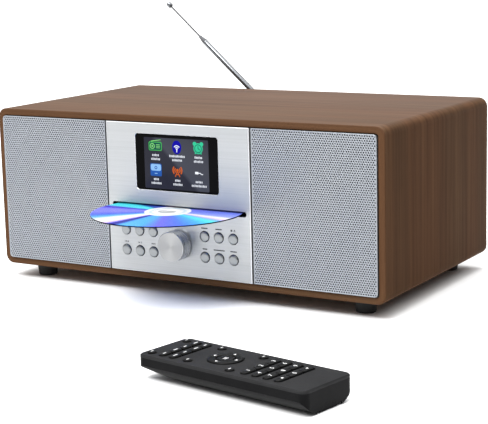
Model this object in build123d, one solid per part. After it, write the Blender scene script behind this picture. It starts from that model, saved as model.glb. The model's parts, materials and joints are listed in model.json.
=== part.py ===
from build123d import *
from math import atan2, cos, degrees, radians, sin
import os

# Mini hifi system: a walnut cabinet on four feet with a slot-loading disc player, a colour
# display, twelve push buttons, a push-and-turn knob, two speakers, a telescopic antenna and
# a handset lying in front. Millimetres, +X to the right seen from the front, +Y to the back,
# +Z up. The origin is on the floor, under the middle of the cabinet.

# ---- driving dimensions -------------------------------------------------------------------
CAB_W = 356.0
CAB_D = 198.0
CAB_H = 132.0
WALL = 12.0
CORNER_R = 7.5
RIM = 5.5
REBATE = 6.0
FOOT_H = 12.0
FOOT_X = 151.0
FOOT_FRONT_Y = -77.0
FOOT_REAR_Y = 80.0
FOOT_TOP_R = 9.5
FOOT_TREAD_R = 7.8
FOOT_EASE = 1.5

FRONT_Y = -CAB_D / 2
BACK_Y = CAB_D / 2
BASE_Z = FOOT_H
TOP_Z = FOOT_H + CAB_H
MID_Z = FOOT_H + CAB_H / 2
FLOOR_Z = BASE_Z + WALL

PANEL_GAP = 0.3
BAFFLE_FRONT = FRONT_Y - 0.8
BAFFLE_BACK = FRONT_Y + REBATE
GRILLE_FRONT = FRONT_Y - 1.8
FASCIA_FRONT = FRONT_Y - 2.0
PANEL_W = CAB_W - 2 * RIM - 2 * PANEL_GAP
PANEL_H = CAB_H - 2 * RIM - 2 * PANEL_GAP
PANEL_R = 3.0
FASCIA_W = 132.0
SEAM = 0.8

WINDOW_W = 76.0
WINDOW_H = 44.0
WINDOW_Z = BASE_Z + 95.3
WINDOW_R = 2.4

DISC_R = 60.0
DISC_HOLE_R = 7.5
DISC_T = 1.2
DISC_Z = BASE_Z + 59.5
DISC_REST_Y = -115.0
SPINDLE_Y = -20.0
SLOT_W = 125.0
SLOT_H = 4.4

BUTTON_R = 4.15
BUTTON_HOLE_R = 4.5
BUTTON_PROUD = 1.3
BUTTON_X = (24.1, 37.1, 50.1)
BUTTON_UPPER_Z = BASE_Z + 39.5
BUTTON_LOWER_Z = BASE_Z + 23.0

KNOB_R = 12.0
KNOB_PROUD = 12.5
KNOB_LIFT = 0.8
KNOB_Z = BASE_Z + 31.2
ENCODER_SHAFT_R = 3.0
RUNNING_GAP = 0.06

SPEAKER_X = 119.0
SPEAKER_FLANGE_R = 42.0
SPEAKER_SCREW_R = 39.2
SPEAKER_OPENING_R = 33.4

ANTENNA_X = -25.0
ANTENNA_Y = 108.0
ANTENNA_Z = 116.0
ANTENNA_LEAN = -48.3

HANDSET_X = 166.0
HANDSET_Y = -284.0
HANDSET_TURN = -10.0
HANDSET_L = 138.0
HANDSET_W = 48.0

BUTTONS = {
    "power_button": (-BUTTON_X[2], BUTTON_UPPER_Z),
    "source_button": (-BUTTON_X[1], BUTTON_UPPER_Z),
    "preset_button": (-BUTTON_X[0], BUTTON_UPPER_Z),
    "previous_button": (-BUTTON_X[2], BUTTON_LOWER_Z),
    "play_pause_button": (-BUTTON_X[1], BUTTON_LOWER_Z),
    "next_button": (-BUTTON_X[0], BUTTON_LOWER_Z),
    "alarm_button": (BUTTON_X[0], BUTTON_UPPER_Z),
    "sleep_button": (BUTTON_X[1], BUTTON_UPPER_Z),
    "eject_button": (BUTTON_X[2], BUTTON_UPPER_Z),
    "info_button": (BUTTON_X[0], BUTTON_LOWER_Z),
    "menu_button": (BUTTON_X[1], BUTTON_LOWER_Z),
    "mode_button": (BUTTON_X[2], BUTTON_LOWER_Z),
}

# ---- small shape helpers ------------------------------------------------------------------


def block(x0, x1, y0, y1, z0, z1):
    centre = Pos((x0 + x1) / 2, (y0 + y1) / 2, (z0 + z1) / 2)
    return centre * Box(x1 - x0, y1 - y0, z1 - z0)


def rod_x(y, z, radius, x0, x1):
    return Pos((x0 + x1) / 2, y, z) * Rot(0, 90, 0) * Cylinder(radius, x1 - x0)


def rod_y(x, z, radius, y0, y1):
    return Pos(x, (y0 + y1) / 2, z) * Rot(90, 0, 0) * Cylinder(radius, y1 - y0)


def rod_z(x, y, radius, z0, z1):
    return Pos(x, y, (z0 + z1) / 2) * Cylinder(radius, z1 - z0)


def cone_y(x, z, front_r, y0, back_r, y1):
    return Pos(x, (y0 + y1) / 2, z) * Rot(90, 0, 0) * Cone(back_r, front_r, y1 - y0)


def cone_z(x, y, low_r, z0, high_r, z1):
    return Pos(x, y, (z0 + z1) / 2) * Cone(low_r, high_r, z1 - z0)


def plate_y(sketch, x, z, y0, y1):
    """A flat sketch stood upright, with its thickness along Y from y0 to y1."""
    return Pos(x, y1, z) * Rot(90, 0, 0) * extrude(sketch, y1 - y0)


def rounded_plate(width, height, radius, x, z, y0, y1):
    return plate_y(RectangleRounded(width, height, radius), x, z, y0, y1)


def slot_plate(width, height, x, z, y0, y1):
    return plate_y(SlotOverall(width, height), x, z, y0, y1)


def mirrored(x):
    return (-x, x)


# ---- cabinet ------------------------------------------------------------------------------


def cabinet_sleeve():
    body = rounded_plate(CAB_W, CAB_H, CORNER_R, 0, MID_Z, FRONT_Y, BACK_Y)
    ends = body.faces().sort_by(Axis.Y)
    body = fillet(ends[0].edges() + ends[-1].edges(), 1.0)
    inner_w, inner_h = CAB_W - 2 * WALL, CAB_H - 2 * WALL
    body -= rounded_plate(inner_w, inner_h, 3, 0, MID_Z, FRONT_Y - 1, BACK_Y + 1)
    seat_w, seat_h = CAB_W - 2 * RIM, CAB_H - 2 * RIM
    body -= rounded_plate(seat_w, seat_h, PANEL_R + PANEL_GAP, 0, MID_Z, FRONT_Y - 1, BAFFLE_BACK)
    body -= rounded_plate(seat_w, seat_h, PANEL_R + PANEL_GAP, 0, MID_Z, BACK_Y - REBATE, BACK_Y + 1)
    for x, z in rear_screw_places():
        body -= rod_y(x, z, 1.3, BACK_Y - REBATE - 12, BACK_Y)
    return body


def rear_screw_places():
    side_x = CAB_W / 2 - 8.8
    edge_z = CAB_H / 2 - 8.8
    places = [(x, MID_Z + z) for x in mirrored(side_x - 6) for z in mirrored(edge_z)]
    places += [(x, MID_Z + z) for x in mirrored(58.0) for z in mirrored(edge_z)]
    return places


REAR_PANEL_FRONT = BACK_Y - REBATE
REAR_PANEL_BACK = BACK_Y - 2.0
PORT_X = -112.0
PORT_Z = MID_Z
PORT_R = 17.0
PORT_LENGTH = 42.0
SOCKET_Z = 38.6
POWER_SOCKET_X = -46.0
DATA_SOCKET_X = -16.0
LINE_SOCKET_X = 14.0
PHONES_SOCKET_X = 40.0


def rear_panel():
    panel = rounded_plate(PANEL_W, PANEL_H, PANEL_R, 0, MID_Z, REAR_PANEL_FRONT, REAR_PANEL_BACK)
    tube_front = REAR_PANEL_BACK - PORT_LENGTH
    panel += rod_y(PORT_X, PORT_Z, PORT_R + 2.2, tube_front, REAR_PANEL_FRONT)
    panel -= rod_y(PORT_X, PORT_Z, PORT_R, tube_front - 1, REAR_PANEL_BACK + 1)
    panel -= cone_y(PORT_X, PORT_Z, PORT_R, REAR_PANEL_BACK - 3, PORT_R + 3, REAR_PANEL_BACK)
    panel -= rod_y(ANTENNA_X, ANTENNA_Z, 3.6, REAR_PANEL_FRONT - 1, REAR_PANEL_BACK + 1)
    for x in (POWER_SOCKET_X, LINE_SOCKET_X, PHONES_SOCKET_X):
        panel -= rod_y(x, SOCKET_Z, 4.4, REAR_PANEL_FRONT - 1, REAR_PANEL_BACK + 1)
    panel -= block(
        DATA_SOCKET_X - 7.6, DATA_SOCKET_X + 7.6,
        REAR_PANEL_FRONT - 1, REAR_PANEL_BACK + 1,
        SOCKET_Z - 3.9, SOCKET_Z + 3.9,
    )
    for x, z in rear_screw_places():
        panel -= rod_y(x, z, 1.6, REAR_PANEL_FRONT - 1, REAR_PANEL_BACK + 1)
    for row in range(6):
        panel -= slot_plate(34, 2.4, 112, MID_Z - 15 + 6 * row, REAR_PANEL_FRONT - 1, REAR_PANEL_BACK + 1)
    return panel


def rear_panel_screws():
    screws = []
    for x, z in rear_screw_places():
        screw = rod_y(x, z, 2.8, REAR_PANEL_BACK, REAR_PANEL_BACK + 1.6)
        screw += rod_y(x, z, 1.3, REAR_PANEL_BACK - 14, REAR_PANEL_BACK)
        cross = block(x - 1.6, x + 1.6, REAR_PANEL_BACK + 0.8, REAR_PANEL_BACK + 2, z - 0.35, z + 0.35)
        cross += block(x - 0.35, x + 0.35, REAR_PANEL_BACK + 0.8, REAR_PANEL_BACK + 2, z - 1.6, z + 1.6)
        screws.append(screw - cross)
    return screws


def feet():
    pads = []
    for x in mirrored(FOOT_X):
        for y in (FOOT_FRONT_Y, FOOT_REAR_Y):
            pad = cone_z(x, y, FOOT_TREAD_R + 0.4, FOOT_EASE, FOOT_TOP_R, FOOT_H)
            pads.append(pad + cone_z(x, y, FOOT_TREAD_R, 0, FOOT_TREAD_R + 0.4, FOOT_EASE))
    return pads


# ---- front panel --------------------------------------------------------------------------


def front_baffle():
    panel = rounded_plate(PANEL_W, PANEL_H, PANEL_R, 0, MID_Z, BAFFLE_FRONT, BAFFLE_BACK)
    front, back = BAFFLE_FRONT - 1, BAFFLE_BACK + 1
    for x in mirrored(SPEAKER_X):
        panel -= rod_y(x, MID_Z, SPEAKER_OPENING_R, front, back)
        for hole_x, hole_z in speaker_screw_places(x):
            panel -= rod_y(hole_x, hole_z, 1.3, BAFFLE_BACK - 4, back)
    panel -= block(-35, 35, front, back, WINDOW_Z - 21.5, WINDOW_Z + 21.5)
    panel -= slot_plate(SLOT_W + 1, SLOT_H + 1.6, 0, DISC_Z, front, back)
    for x, z in BUTTONS.values():
        panel -= rod_y(x, z, BUTTON_HOLE_R, front, back)
    panel -= rod_y(0, KNOB_Z, 7.5, front, back)
    for x, z in board_boss_places():
        panel += rod_y(x, z, 2.5, BAFFLE_BACK, BOARD_FRONT)
    return panel


def board_boss_places():
    return [(x, z) for x in mirrored(57.0) for z in (28.6, BASE_Z + 31.25)]


def fascia_panel():
    height = PANEL_H - 0.2
    panel = block(
        -FASCIA_W / 2, FASCIA_W / 2, FASCIA_FRONT, BAFFLE_FRONT, MID_Z - height / 2, MID_Z + height / 2
    )
    rim = panel.faces().sort_by(Axis.Y)[0].edges()
    panel = chamfer(rim, 0.4)
    front, back = FASCIA_FRONT - 1, BAFFLE_FRONT + 1
    panel -= rounded_plate(WINDOW_W + 0.4, WINDOW_H + 0.4, WINDOW_R, 0, WINDOW_Z, front, back)
    cut_out = panel.faces().sort_by(Axis.Y)[0].inner_wires()[0]
    panel = chamfer(cut_out.edges(), 0.5)
    panel -= slot_plate(SLOT_W, SLOT_H, 0, DISC_Z, front, back)
    for x, z in BUTTONS.values():
        panel -= rod_y(x, z, BUTTON_HOLE_R, front, back)
    panel -= rod_y(0, KNOB_Z, 7.5, front, back)
    return panel


def grille(side):
    inner_x = FASCIA_W / 2 + SEAM
    outer_x = PANEL_W / 2 - 0.1
    height = PANEL_H - 0.2
    x0, x1 = sorted((side * inner_x, side * outer_x))
    panel = block(x0, x1, GRILLE_FRONT, BAFFLE_FRONT, MID_Z - height / 2, MID_Z + height / 2)
    upright = panel.edges().filter_by(Axis.Y)
    outer = [edge for edge in upright if abs(edge.center().X) > (inner_x + outer_x) / 2]
    return fillet(outer, PANEL_R - 0.1)


def display_window():
    return rounded_plate(WINDOW_W, WINDOW_H, WINDOW_R - 0.2, 0, WINDOW_Z, FASCIA_FRONT, BAFFLE_FRONT)


def display_module():
    module = block(-34.6, 34.6, BAFFLE_FRONT, BAFFLE_FRONT + 4.2, WINDOW_Z - 21.1, WINDOW_Z + 21.1)
    return module + block(-30, 30, BAFFLE_FRONT + 4.2, BAFFLE_FRONT + 5.4, WINDOW_Z - 17, WINDOW_Z + 17)


# ---- controls -----------------------------------------------------------------------------

BOARD_FRONT = -84.0
BOARD_BACK = -82.4
SWITCH_FRONT = BOARD_FRONT - 3.8
BUTTON_FLANGE_FRONT = BAFFLE_BACK + 0.4
BUTTON_FLANGE_BACK = BUTTON_FLANGE_FRONT + 1.2
PLUNGER_END = SWITCH_FRONT + 0.8


def push_button(x, z):
    cap = rod_y(x, z, BUTTON_R, FASCIA_FRONT - BUTTON_PROUD, BUTTON_FLANGE_FRONT)
    cap = chamfer(cap.edges().sort_by(Axis.Y)[0], 0.5)
    flange = rod_y(x, z, 5.2, BUTTON_FLANGE_FRONT, BUTTON_FLANGE_BACK)
    stem = rod_y(x, z, 1.4, BUTTON_FLANGE_BACK, PLUNGER_END)
    return cap + flange + stem


def tact_switches():
    switches = []
    for x, z in BUTTONS.values():
        switch = block(x - 3, x + 3, SWITCH_FRONT, BOARD_FRONT, z - 3, z + 3)
        switches.append(switch - rod_y(x, z, 1.9, SWITCH_FRONT - 1, SWITCH_FRONT + 2.4))
    return switches


def front_board():
    board = block(-60, 60, BOARD_FRONT, BOARD_BACK, 25.4, 57)
    board += block(-40, -20, BOARD_BACK, BOARD_BACK + 1.2, 30, 38)
    return board + block(18, 44, BOARD_BACK, BOARD_BACK + 1.6, 44, 49)


ENCODER_FRONT = -91.0
PLUNGER_FRONT = -88.5
KNOB_BACK = FASCIA_FRONT - KNOB_LIFT
KNOB_FRONT = FASCIA_FRONT - KNOB_PROUD


def encoder_body():
    body = block(-6.2, 6.2, ENCODER_FRONT, BOARD_FRONT, KNOB_Z - 6.2, KNOB_Z + 6.2)
    body += rod_y(0, KNOB_Z, 4.5, ENCODER_FRONT - 6, ENCODER_FRONT)
    return body - rod_y(0, KNOB_Z, ENCODER_SHAFT_R + RUNNING_GAP, ENCODER_FRONT - 7, -85)


def encoder_plunger():
    return rod_y(0, KNOB_Z, ENCODER_SHAFT_R - 0.1, PLUNGER_FRONT, PLUNGER_FRONT + 2.5)


def encoder_shaft():
    return rod_y(0, KNOB_Z, ENCODER_SHAFT_R, KNOB_FRONT + 3, PLUNGER_FRONT)


def volume_knob():
    knob = rod_y(0, KNOB_Z, KNOB_R, KNOB_FRONT, KNOB_BACK)
    knob = chamfer(knob.edges().sort_by(Axis.Y)[0], 0.5)
    hollow = rod_y(0, KNOB_Z, KNOB_R - 1.8, KNOB_FRONT + 3.5, KNOB_BACK + 1)
    hollow -= rod_y(0, KNOB_Z, 5.0, KNOB_FRONT + 3, KNOB_BACK + 1)
    return knob - hollow - rod_y(0, KNOB_Z, ENCODER_SHAFT_R, KNOB_FRONT + 3, KNOB_BACK + 1)


# ---- speakers -----------------------------------------------------------------------------

MAGNET_FRONT = BAFFLE_BACK + 28.5
MAGNET_BACK = MAGNET_FRONT + 15.0


def speaker_screw_places(x):
    angles = [radians(45 + 90 * turn) for turn in range(4)]
    return [(x + SPEAKER_SCREW_R * cos(a), MID_Z + SPEAKER_SCREW_R * sin(a)) for a in angles]


def speaker_frame(x):
    frame = rod_y(x, MID_Z, SPEAKER_FLANGE_R, BAFFLE_BACK, BAFFLE_BACK + 2)
    frame += cone_y(x, MID_Z, 36, BAFFLE_BACK + 2, 22, MAGNET_FRONT - 1.5)
    frame -= cone_y(x, MID_Z, 34.4, BAFFLE_BACK + 2, 20.4, MAGNET_FRONT - 1.5)
    frame -= rod_y(x, MID_Z, SPEAKER_OPENING_R, BAFFLE_BACK - 1, BAFFLE_BACK + 2.5)
    windows = block(x - 8, x + 8, BAFFLE_BACK + 7, MAGNET_FRONT - 5, MID_Z - 40, MID_Z + 40)
    windows += block(x - 40, x + 40, BAFFLE_BACK + 7, MAGNET_FRONT - 5, MID_Z - 8, MID_Z + 8)
    frame -= windows
    back_plate = rod_y(x, MID_Z, 22, MAGNET_FRONT - 1.5, MAGNET_FRONT)
    frame += back_plate - rod_y(x, MID_Z, 11.2, MAGNET_FRONT - 2, MAGNET_FRONT + 1)
    for hole_x, hole_z in speaker_screw_places(x):
        frame -= rod_y(hole_x, hole_z, 1.6, BAFFLE_BACK - 1, BAFFLE_BACK + 3)
    return frame


def speaker_magnet(x):
    magnet = rod_y(x, MID_Z, 25, MAGNET_FRONT, MAGNET_BACK)
    gap = rod_y(x, MID_Z, 11.2, MAGNET_FRONT - 1, MAGNET_BACK - 3)
    return magnet - (gap - rod_y(x, MID_Z, 9.0, MAGNET_FRONT - 2, MAGNET_BACK))


def speaker_screws():
    screws = []
    for speaker_x in mirrored(SPEAKER_X):
        for x, z in speaker_screw_places(speaker_x):
            head = rod_y(x, z, 2.4, BAFFLE_BACK + 2, BAFFLE_BACK + 3.4)
            screws.append(head + rod_y(x, z, 1.3, BAFFLE_BACK - 4, BAFFLE_BACK + 2))
    return screws


CONE_FRONT = BAFFLE_BACK + 2.0
CONE_BACK = CONE_FRONT + 14.0
CONE_R = 28.5
COIL_R = 10.3


def speaker_cone(x):
    cone = cone_y(x, MID_Z, CONE_R, CONE_FRONT, COIL_R, CONE_BACK)
    cone -= cone_y(x, MID_Z, CONE_R - 0.9, CONE_FRONT, COIL_R - 0.9, CONE_BACK)
    coil = rod_y(x, MID_Z, COIL_R, CONE_BACK - 1, CONE_BACK + 17) - rod_y(x, MID_Z, 9.8, CONE_BACK - 2, CONE_BACK + 18)
    rise = 3.5
    dome_r = (10.8**2 + rise**2) / (2 * rise)
    apex = CONE_BACK - 1 - rise
    ball = Pos(x, apex + dome_r, MID_Z) * Sphere(dome_r)
    cap = ball & rod_y(x, MID_Z, 11.2, apex - 1, CONE_BACK)
    cap -= Pos(x, apex + dome_r + 0.8, MID_Z) * Sphere(dome_r)
    return cone + coil + cap


def speaker_surround(x):
    outer_r, inner_r, wall = SPEAKER_OPENING_R - 0.3, CONE_R + 0.35, 0.5
    roll_r = (outer_r - inner_r) / 2
    ring_r = (outer_r + inner_r) / 2
    with BuildPart() as roll:
        with BuildSketch(Plane.XY):
            with Locations((ring_r, 0)):
                Circle(roll_r)
                Circle(roll_r - wall, mode=Mode.SUBTRACT)
            with Locations((ring_r, -roll_r)):
                Rectangle(2 * roll_r + 2, 2 * roll_r, mode=Mode.SUBTRACT)
        revolve(axis=Axis.Y)
    # The sketch turns about Y with the roll on the +Y side: it is flipped to face the front.
    return Pos(x, CONE_FRONT, MID_Z) * Rot(180, 0, 0) * roll.part


# ---- disc drive ---------------------------------------------------------------------------

TRAY_HALF_W = 66.0
TRAY_SHEET = 1.2
TRAY_FRONT = -80.0
TRAY_BACK = 60.0
TRAY_Z = DISC_Z - 17.5
COVER_Z = DISC_Z + 8.5
ROLLER_Y = -72.0
ROLLER_END_R = 4.0
ROLLER_Z = DISC_Z - DISC_T / 2 - 0.3 - ROLLER_END_R
LIFT_PINS = [(x, y) for x in mirrored(43.0) for y in (-50.0, 50.0)]
ARM_PIN_Y = 48.0
ARM_PIN_Z = DISC_Z + 5.7


def drive_chassis():
    w, t = TRAY_HALF_W, TRAY_SHEET
    tray = block(-w, w, TRAY_FRONT, TRAY_BACK, TRAY_Z, TRAY_Z + t)
    tray -= block(-34, 34, -44, 40, TRAY_Z - 1, TRAY_Z + t + 1)
    tray += block(-w, w, TRAY_BACK - t, TRAY_BACK, TRAY_Z, COVER_Z)
    for side in (-1, 1):
        x0, x1 = sorted((side * (w - t), side * w))
        tray += block(x0, x1, TRAY_FRONT, TRAY_BACK, TRAY_Z, COVER_Z)
        for y in (-74.0, 44.0):
            tray += block(x0, x1, y, y + 14, FLOOR_Z, TRAY_Z)
            foot_x0, foot_x1 = sorted((side * (w - 10), side * w))
            tray += block(foot_x0, foot_x1, y, y + 14, FLOOR_Z, FLOOR_Z + t)
    tray -= rod_x(ROLLER_Y, ROLLER_Z, 1.5 + RUNNING_GAP, -w - 1, w + 1)
    for x, y in LIFT_PINS:
        tray += rod_z(x, y, 1.5, TRAY_Z + t, TRAY_Z + t + 7.5)
    return tray


def drive_cover():
    w, t = TRAY_HALF_W, TRAY_SHEET
    cover = block(-w, w, TRAY_FRONT, TRAY_BACK, COVER_Z, COVER_Z + t)
    cover -= block(-18, 18, -42, 38, COVER_Z - 1, COVER_Z + t + 1)
    rib_z = DISC_Z + DISC_T / 2 + 0.6
    for side in (-1, 1):
        x0, x1 = sorted((side * 57.0, side * 61.0))
        cover += block(x0, x1, TRAY_FRONT + 2, TRAY_BACK - 8, rib_z, COVER_Z)
        lug_x0, lug_x1 = sorted((side * 12.4, side * 14.6))
        cover += block(lug_x0, lug_x1, ARM_PIN_Y - 4, ARM_PIN_Y + 4, ARM_PIN_Z - 3.5, COVER_Z)
    return cover + rod_x(ARM_PIN_Y, ARM_PIN_Z, 1.5, -14.0, 14.0)


def loading_roller():
    sleeve = Pos(-28.5, ROLLER_Y, ROLLER_Z) * Rot(0, 90, 0) * Cone(ROLLER_END_R, 3.3, 57)
    sleeve += Pos(28.5, ROLLER_Y, ROLLER_Z) * Rot(0, 90, 0) * Cone(3.3, ROLLER_END_R, 57)
    return sleeve + rod_x(ROLLER_Y, ROLLER_Z, 1.5, -TRAY_HALF_W - 6, TRAY_HALF_W + 1.5)


def loading_motor():
    x1 = -TRAY_HALF_W
    housing = block(x1 - 9, x1, ROLLER_Y - 7, ROLLER_Y + 12, ROLLER_Z - 9, ROLLER_Z + 6)
    housing += rod_y(x1 - 4.5, ROLLER_Z - 2, 4.2, ROLLER_Y + 12, ROLLER_Y + 28)
    return housing - rod_x(ROLLER_Y, ROLLER_Z, 1.5 + RUNNING_GAP, x1 - 7, x1 + 1)


PLATE_Z = DISC_Z - 13.5
PLATE_TOP = PLATE_Z + 1.6
RAIL_Z = PLATE_TOP + 4.4
RAIL_X = 22.0
RAIL_R = 1.25
SCREW_X = 31.0
SCREW_R = 1.5
RAIL_FRONT = -8.0
RAIL_BACK = 56.0


def traverse_frame():
    plate = block(-48, 48, -56, 56, PLATE_Z, PLATE_TOP)
    for x in mirrored(RAIL_X):
        for y in (RAIL_FRONT, RAIL_BACK - 4):
            plate += block(x - 3, x + 3, y, y + 4, PLATE_TOP, RAIL_Z + 2.4)
    for y in (RAIL_FRONT, RAIL_BACK - 4):
        plate += block(SCREW_X - 3.4, SCREW_X + 3.4, y, y + 4, PLATE_TOP, RAIL_Z + 2.4)
    for x in mirrored(RAIL_X):
        plate -= rod_y(x, RAIL_Z, RAIL_R, RAIL_FRONT - 1, RAIL_BACK + 1)
    plate -= rod_y(SCREW_X, RAIL_Z, SCREW_R + RUNNING_GAP, RAIL_FRONT - 1, RAIL_BACK + 1)
    for x, y in LIFT_PINS:
        plate -= rod_z(x, y, 1.5 + 0.09, PLATE_Z - 1, PLATE_TOP + 1)
    return plate


def guide_rods():
    return [rod_y(x, RAIL_Z, RAIL_R, RAIL_FRONT, RAIL_BACK) for x in mirrored(RAIL_X)]


def drive_motors():
    spindle_motor = rod_z(0, SPINDLE_Y, 12, PLATE_TOP, PLATE_TOP + 6.4)
    spindle_motor -= rod_z(0, SPINDLE_Y, 1.0 + RUNNING_GAP, PLATE_TOP + 1, PLATE_TOP + 7)
    sled_motor = rod_y(SCREW_X, RAIL_Z, 4.2, -24, RAIL_FRONT)
    sled_motor -= rod_y(SCREW_X, RAIL_Z, SCREW_R + RUNNING_GAP, RAIL_FRONT - 4, RAIL_FRONT + 1)
    return [spindle_motor, sled_motor]


HUB_Z = PLATE_TOP + 7.0
HUB_TOP = HUB_Z + 2.2


def spindle_hub():
    hub = rod_z(0, SPINDLE_Y, 1.0, PLATE_TOP + 1.3, HUB_Z)
    hub += rod_z(0, SPINDLE_Y, 14, HUB_Z, HUB_TOP)
    return hub + cone_z(0, SPINDLE_Y, DISC_HOLE_R - 0.2, HUB_TOP, DISC_HOLE_R - 0.7, HUB_TOP + 1.3)


def lead_screw():
    return rod_y(SCREW_X, RAIL_Z, SCREW_R, RAIL_FRONT - 3.5, RAIL_BACK - 2)


def pickup_sled():
    low, high = PLATE_TOP + 1.7, PLATE_TOP + 7.0
    sled = block(-26, 26, -3, 17, low, high)
    sled += block(26, 35.5, 3, 12, low, high)
    sled += rod_z(0, 5, 4.5, high, high + 1.6)
    sled -= rod_z(0, 5, 2.2, high + 0.8, high + 2)
    for x in mirrored(RAIL_X):
        sled -= rod_y(x, RAIL_Z, RAIL_R + RUNNING_GAP, -4, 18)
    return sled - rod_y(SCREW_X, RAIL_Z, SCREW_R + 0.09, -4, 18)


PUCK_Z = DISC_Z + 2.5


def clamp_arm():
    low, high = ARM_PIN_Z - 0.7, ARM_PIN_Z + 0.8
    arm = block(-11, 11, SPINDLE_Y - 12, ARM_PIN_Y, low, high)
    arm += rod_x(ARM_PIN_Y, ARM_PIN_Z, 2.5, -12, 12)
    arm -= rod_x(ARM_PIN_Y, ARM_PIN_Z, 1.5 + RUNNING_GAP, -13, 13)
    return arm - rod_z(0, SPINDLE_Y, 3.4, low - 1, high + 1)


def clamp_puck():
    arm_top = ARM_PIN_Z + 0.8
    puck = rod_z(0, SPINDLE_Y, 13, PUCK_Z, PUCK_Z + 1.8)
    puck += rod_z(0, SPINDLE_Y, 3.0, PUCK_Z, arm_top + 0.4)
    puck += rod_z(0, SPINDLE_Y, 5.0, arm_top + 0.4, arm_top + 1.2)
    return puck - rod_z(0, SPINDLE_Y, 8.2, PUCK_Z - 1, PUCK_Z + 1.0)


def disc():
    low, high = DISC_Z - DISC_T / 2, DISC_Z + DISC_T / 2
    return rod_z(0, DISC_REST_Y, DISC_R, low, high) - rod_z(0, DISC_REST_Y, DISC_HOLE_R, low - 1, high + 1)


# ---- main board and sockets ---------------------------------------------------------------

MAIN_BOARD_Z = 30.0
MAIN_BOARD_TOP = MAIN_BOARD_Z + 1.6


def main_board():
    board = block(-62, 62, -40, 88, MAIN_BOARD_Z, MAIN_BOARD_TOP)
    for x in mirrored(56.0):
        for y in (-34.0, 80.0):
            board += rod_z(x, y, 3, FLOOR_Z, MAIN_BOARD_Z)
    board += block(-20, 20, -20, 10, MAIN_BOARD_TOP, MAIN_BOARD_TOP + 2)
    board += block(-50, -32, 20, 52, MAIN_BOARD_TOP, MAIN_BOARD_TOP + 14)
    for x, y in ((30, 30), (44, 30), (37, 46)):
        board += rod_z(x, y, 5, MAIN_BOARD_TOP, MAIN_BOARD_TOP + 14)
    fin_base = MAIN_BOARD_TOP + 2
    board += block(-18, 18, 24, 56, MAIN_BOARD_TOP, fin_base)
    for fin in range(7):
        x = -18 + 5.75 * fin
        board += block(x, x + 1.5, 24, 56, fin_base, fin_base + 10)
    return board


SOCKET_BACK = REAR_PANEL_BACK + 0.4
AUDIO_BORE_R = 1.8
AUDIO_BORE_L = 14.0


def audio_socket(x):
    socket = block(x - 5.5, x + 5.5, 79, REAR_PANEL_FRONT - 0.5, MAIN_BOARD_TOP, SOCKET_Z + 5)
    socket += rod_y(x, SOCKET_Z, 4.0, REAR_PANEL_FRONT - 0.5, SOCKET_BACK)
    return socket - rod_y(x, SOCKET_Z, AUDIO_BORE_R, SOCKET_BACK - AUDIO_BORE_L, SOCKET_BACK + 1)


def rear_sockets():
    x = POWER_SOCKET_X
    power = block(x - 6, x + 6, 79, REAR_PANEL_FRONT - 0.5, MAIN_BOARD_TOP, SOCKET_Z + 5)
    power += rod_y(x, SOCKET_Z, 4.0, REAR_PANEL_FRONT - 0.5, SOCKET_BACK)
    power -= rod_y(x, SOCKET_Z, 2.85, SOCKET_BACK - 10, SOCKET_BACK + 1)
    power += rod_y(x, SOCKET_Z, 1.05, SOCKET_BACK - 10, SOCKET_BACK - 1)
    x = DATA_SOCKET_X
    data = block(x - 7.2, x + 7.2, 79, SOCKET_BACK, SOCKET_Z - 3.5, SOCKET_Z + 3.5)
    data -= block(x - 6.3, x + 6.3, 84, SOCKET_BACK + 1, SOCKET_Z - 2.6, SOCKET_Z + 2.6)
    data += block(x - 5.6, x + 5.6, 83, SOCKET_BACK - 1, SOCKET_Z + 0.2, SOCKET_Z + 2.0)
    data += block(x - 7.2, x + 7.2, 79, 91, MAIN_BOARD_TOP, SOCKET_Z - 3.5)
    return [power, data, audio_socket(LINE_SOCKET_X), audio_socket(PHONES_SOCKET_X)]


# ---- antenna: built upright at its pivot, then leant to its place -------------------------

EYE_R = 4.0
TUBE_R = 2.5
TUBE_BORE_R = 2.1
TUBE_END = 103.8
COLLAR_END = 111.5
ROD_R = 0.7
ROD_END = 152.0
TIP_END = 156.5


def lean_antenna(shape):
    return Pos(ANTENNA_X, ANTENNA_Y, ANTENNA_Z) * Rot(0, ANTENNA_LEAN, 0) * shape


def antenna_bracket():
    bracket = rounded_plate(26, 22, 4, ANTENNA_X, ANTENNA_Z, REAR_PANEL_BACK, REAR_PANEL_BACK + 2)
    bracket += rod_y(ANTENNA_X, ANTENNA_Z, 7, REAR_PANEL_BACK + 2, REAR_PANEL_BACK + 4)
    return bracket - rod_y(ANTENNA_X, ANTENNA_Z, 3 + RUNNING_GAP, REAR_PANEL_BACK - 1, REAR_PANEL_BACK + 5)


def antenna_swivel():
    base_y = REAR_PANEL_BACK + 4.3 - ANTENNA_Y
    swivel = rod_y(0, 0, 3, REAR_PANEL_FRONT - 2 - ANTENNA_Y, base_y)
    swivel += rod_y(0, 0, 5.2, REAR_PANEL_FRONT - 3.2 - ANTENNA_Y, REAR_PANEL_FRONT - 2 - ANTENNA_Y)
    swivel += rod_y(0, 0, 7, base_y, base_y + 2.2)
    for side in (-1, 1):
        x0, x1 = sorted((side * 1.9, side * 3.9))
        swivel += block(x0, x1, base_y + 2, 0, -EYE_R, EYE_R)
        swivel += rod_x(0, 0, EYE_R, x0, x1)
    return lean_antenna(swivel + rod_x(0, 0, 1.2, -4.4, 4.4))


def antenna_outer_tube():
    eye = rod_x(0, 0, EYE_R, -1.5, 1.5) + block(-1.5, 1.5, -2.0, 2.0, 2, 8)
    tube = eye + rod_z(0, 0, TUBE_R, 7, TUBE_END)
    tube -= rod_z(0, 0, TUBE_BORE_R, 11, TUBE_END + 1)
    return lean_antenna(tube - rod_x(0, 0, 1.2 + RUNNING_GAP, -2, 2))


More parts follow.
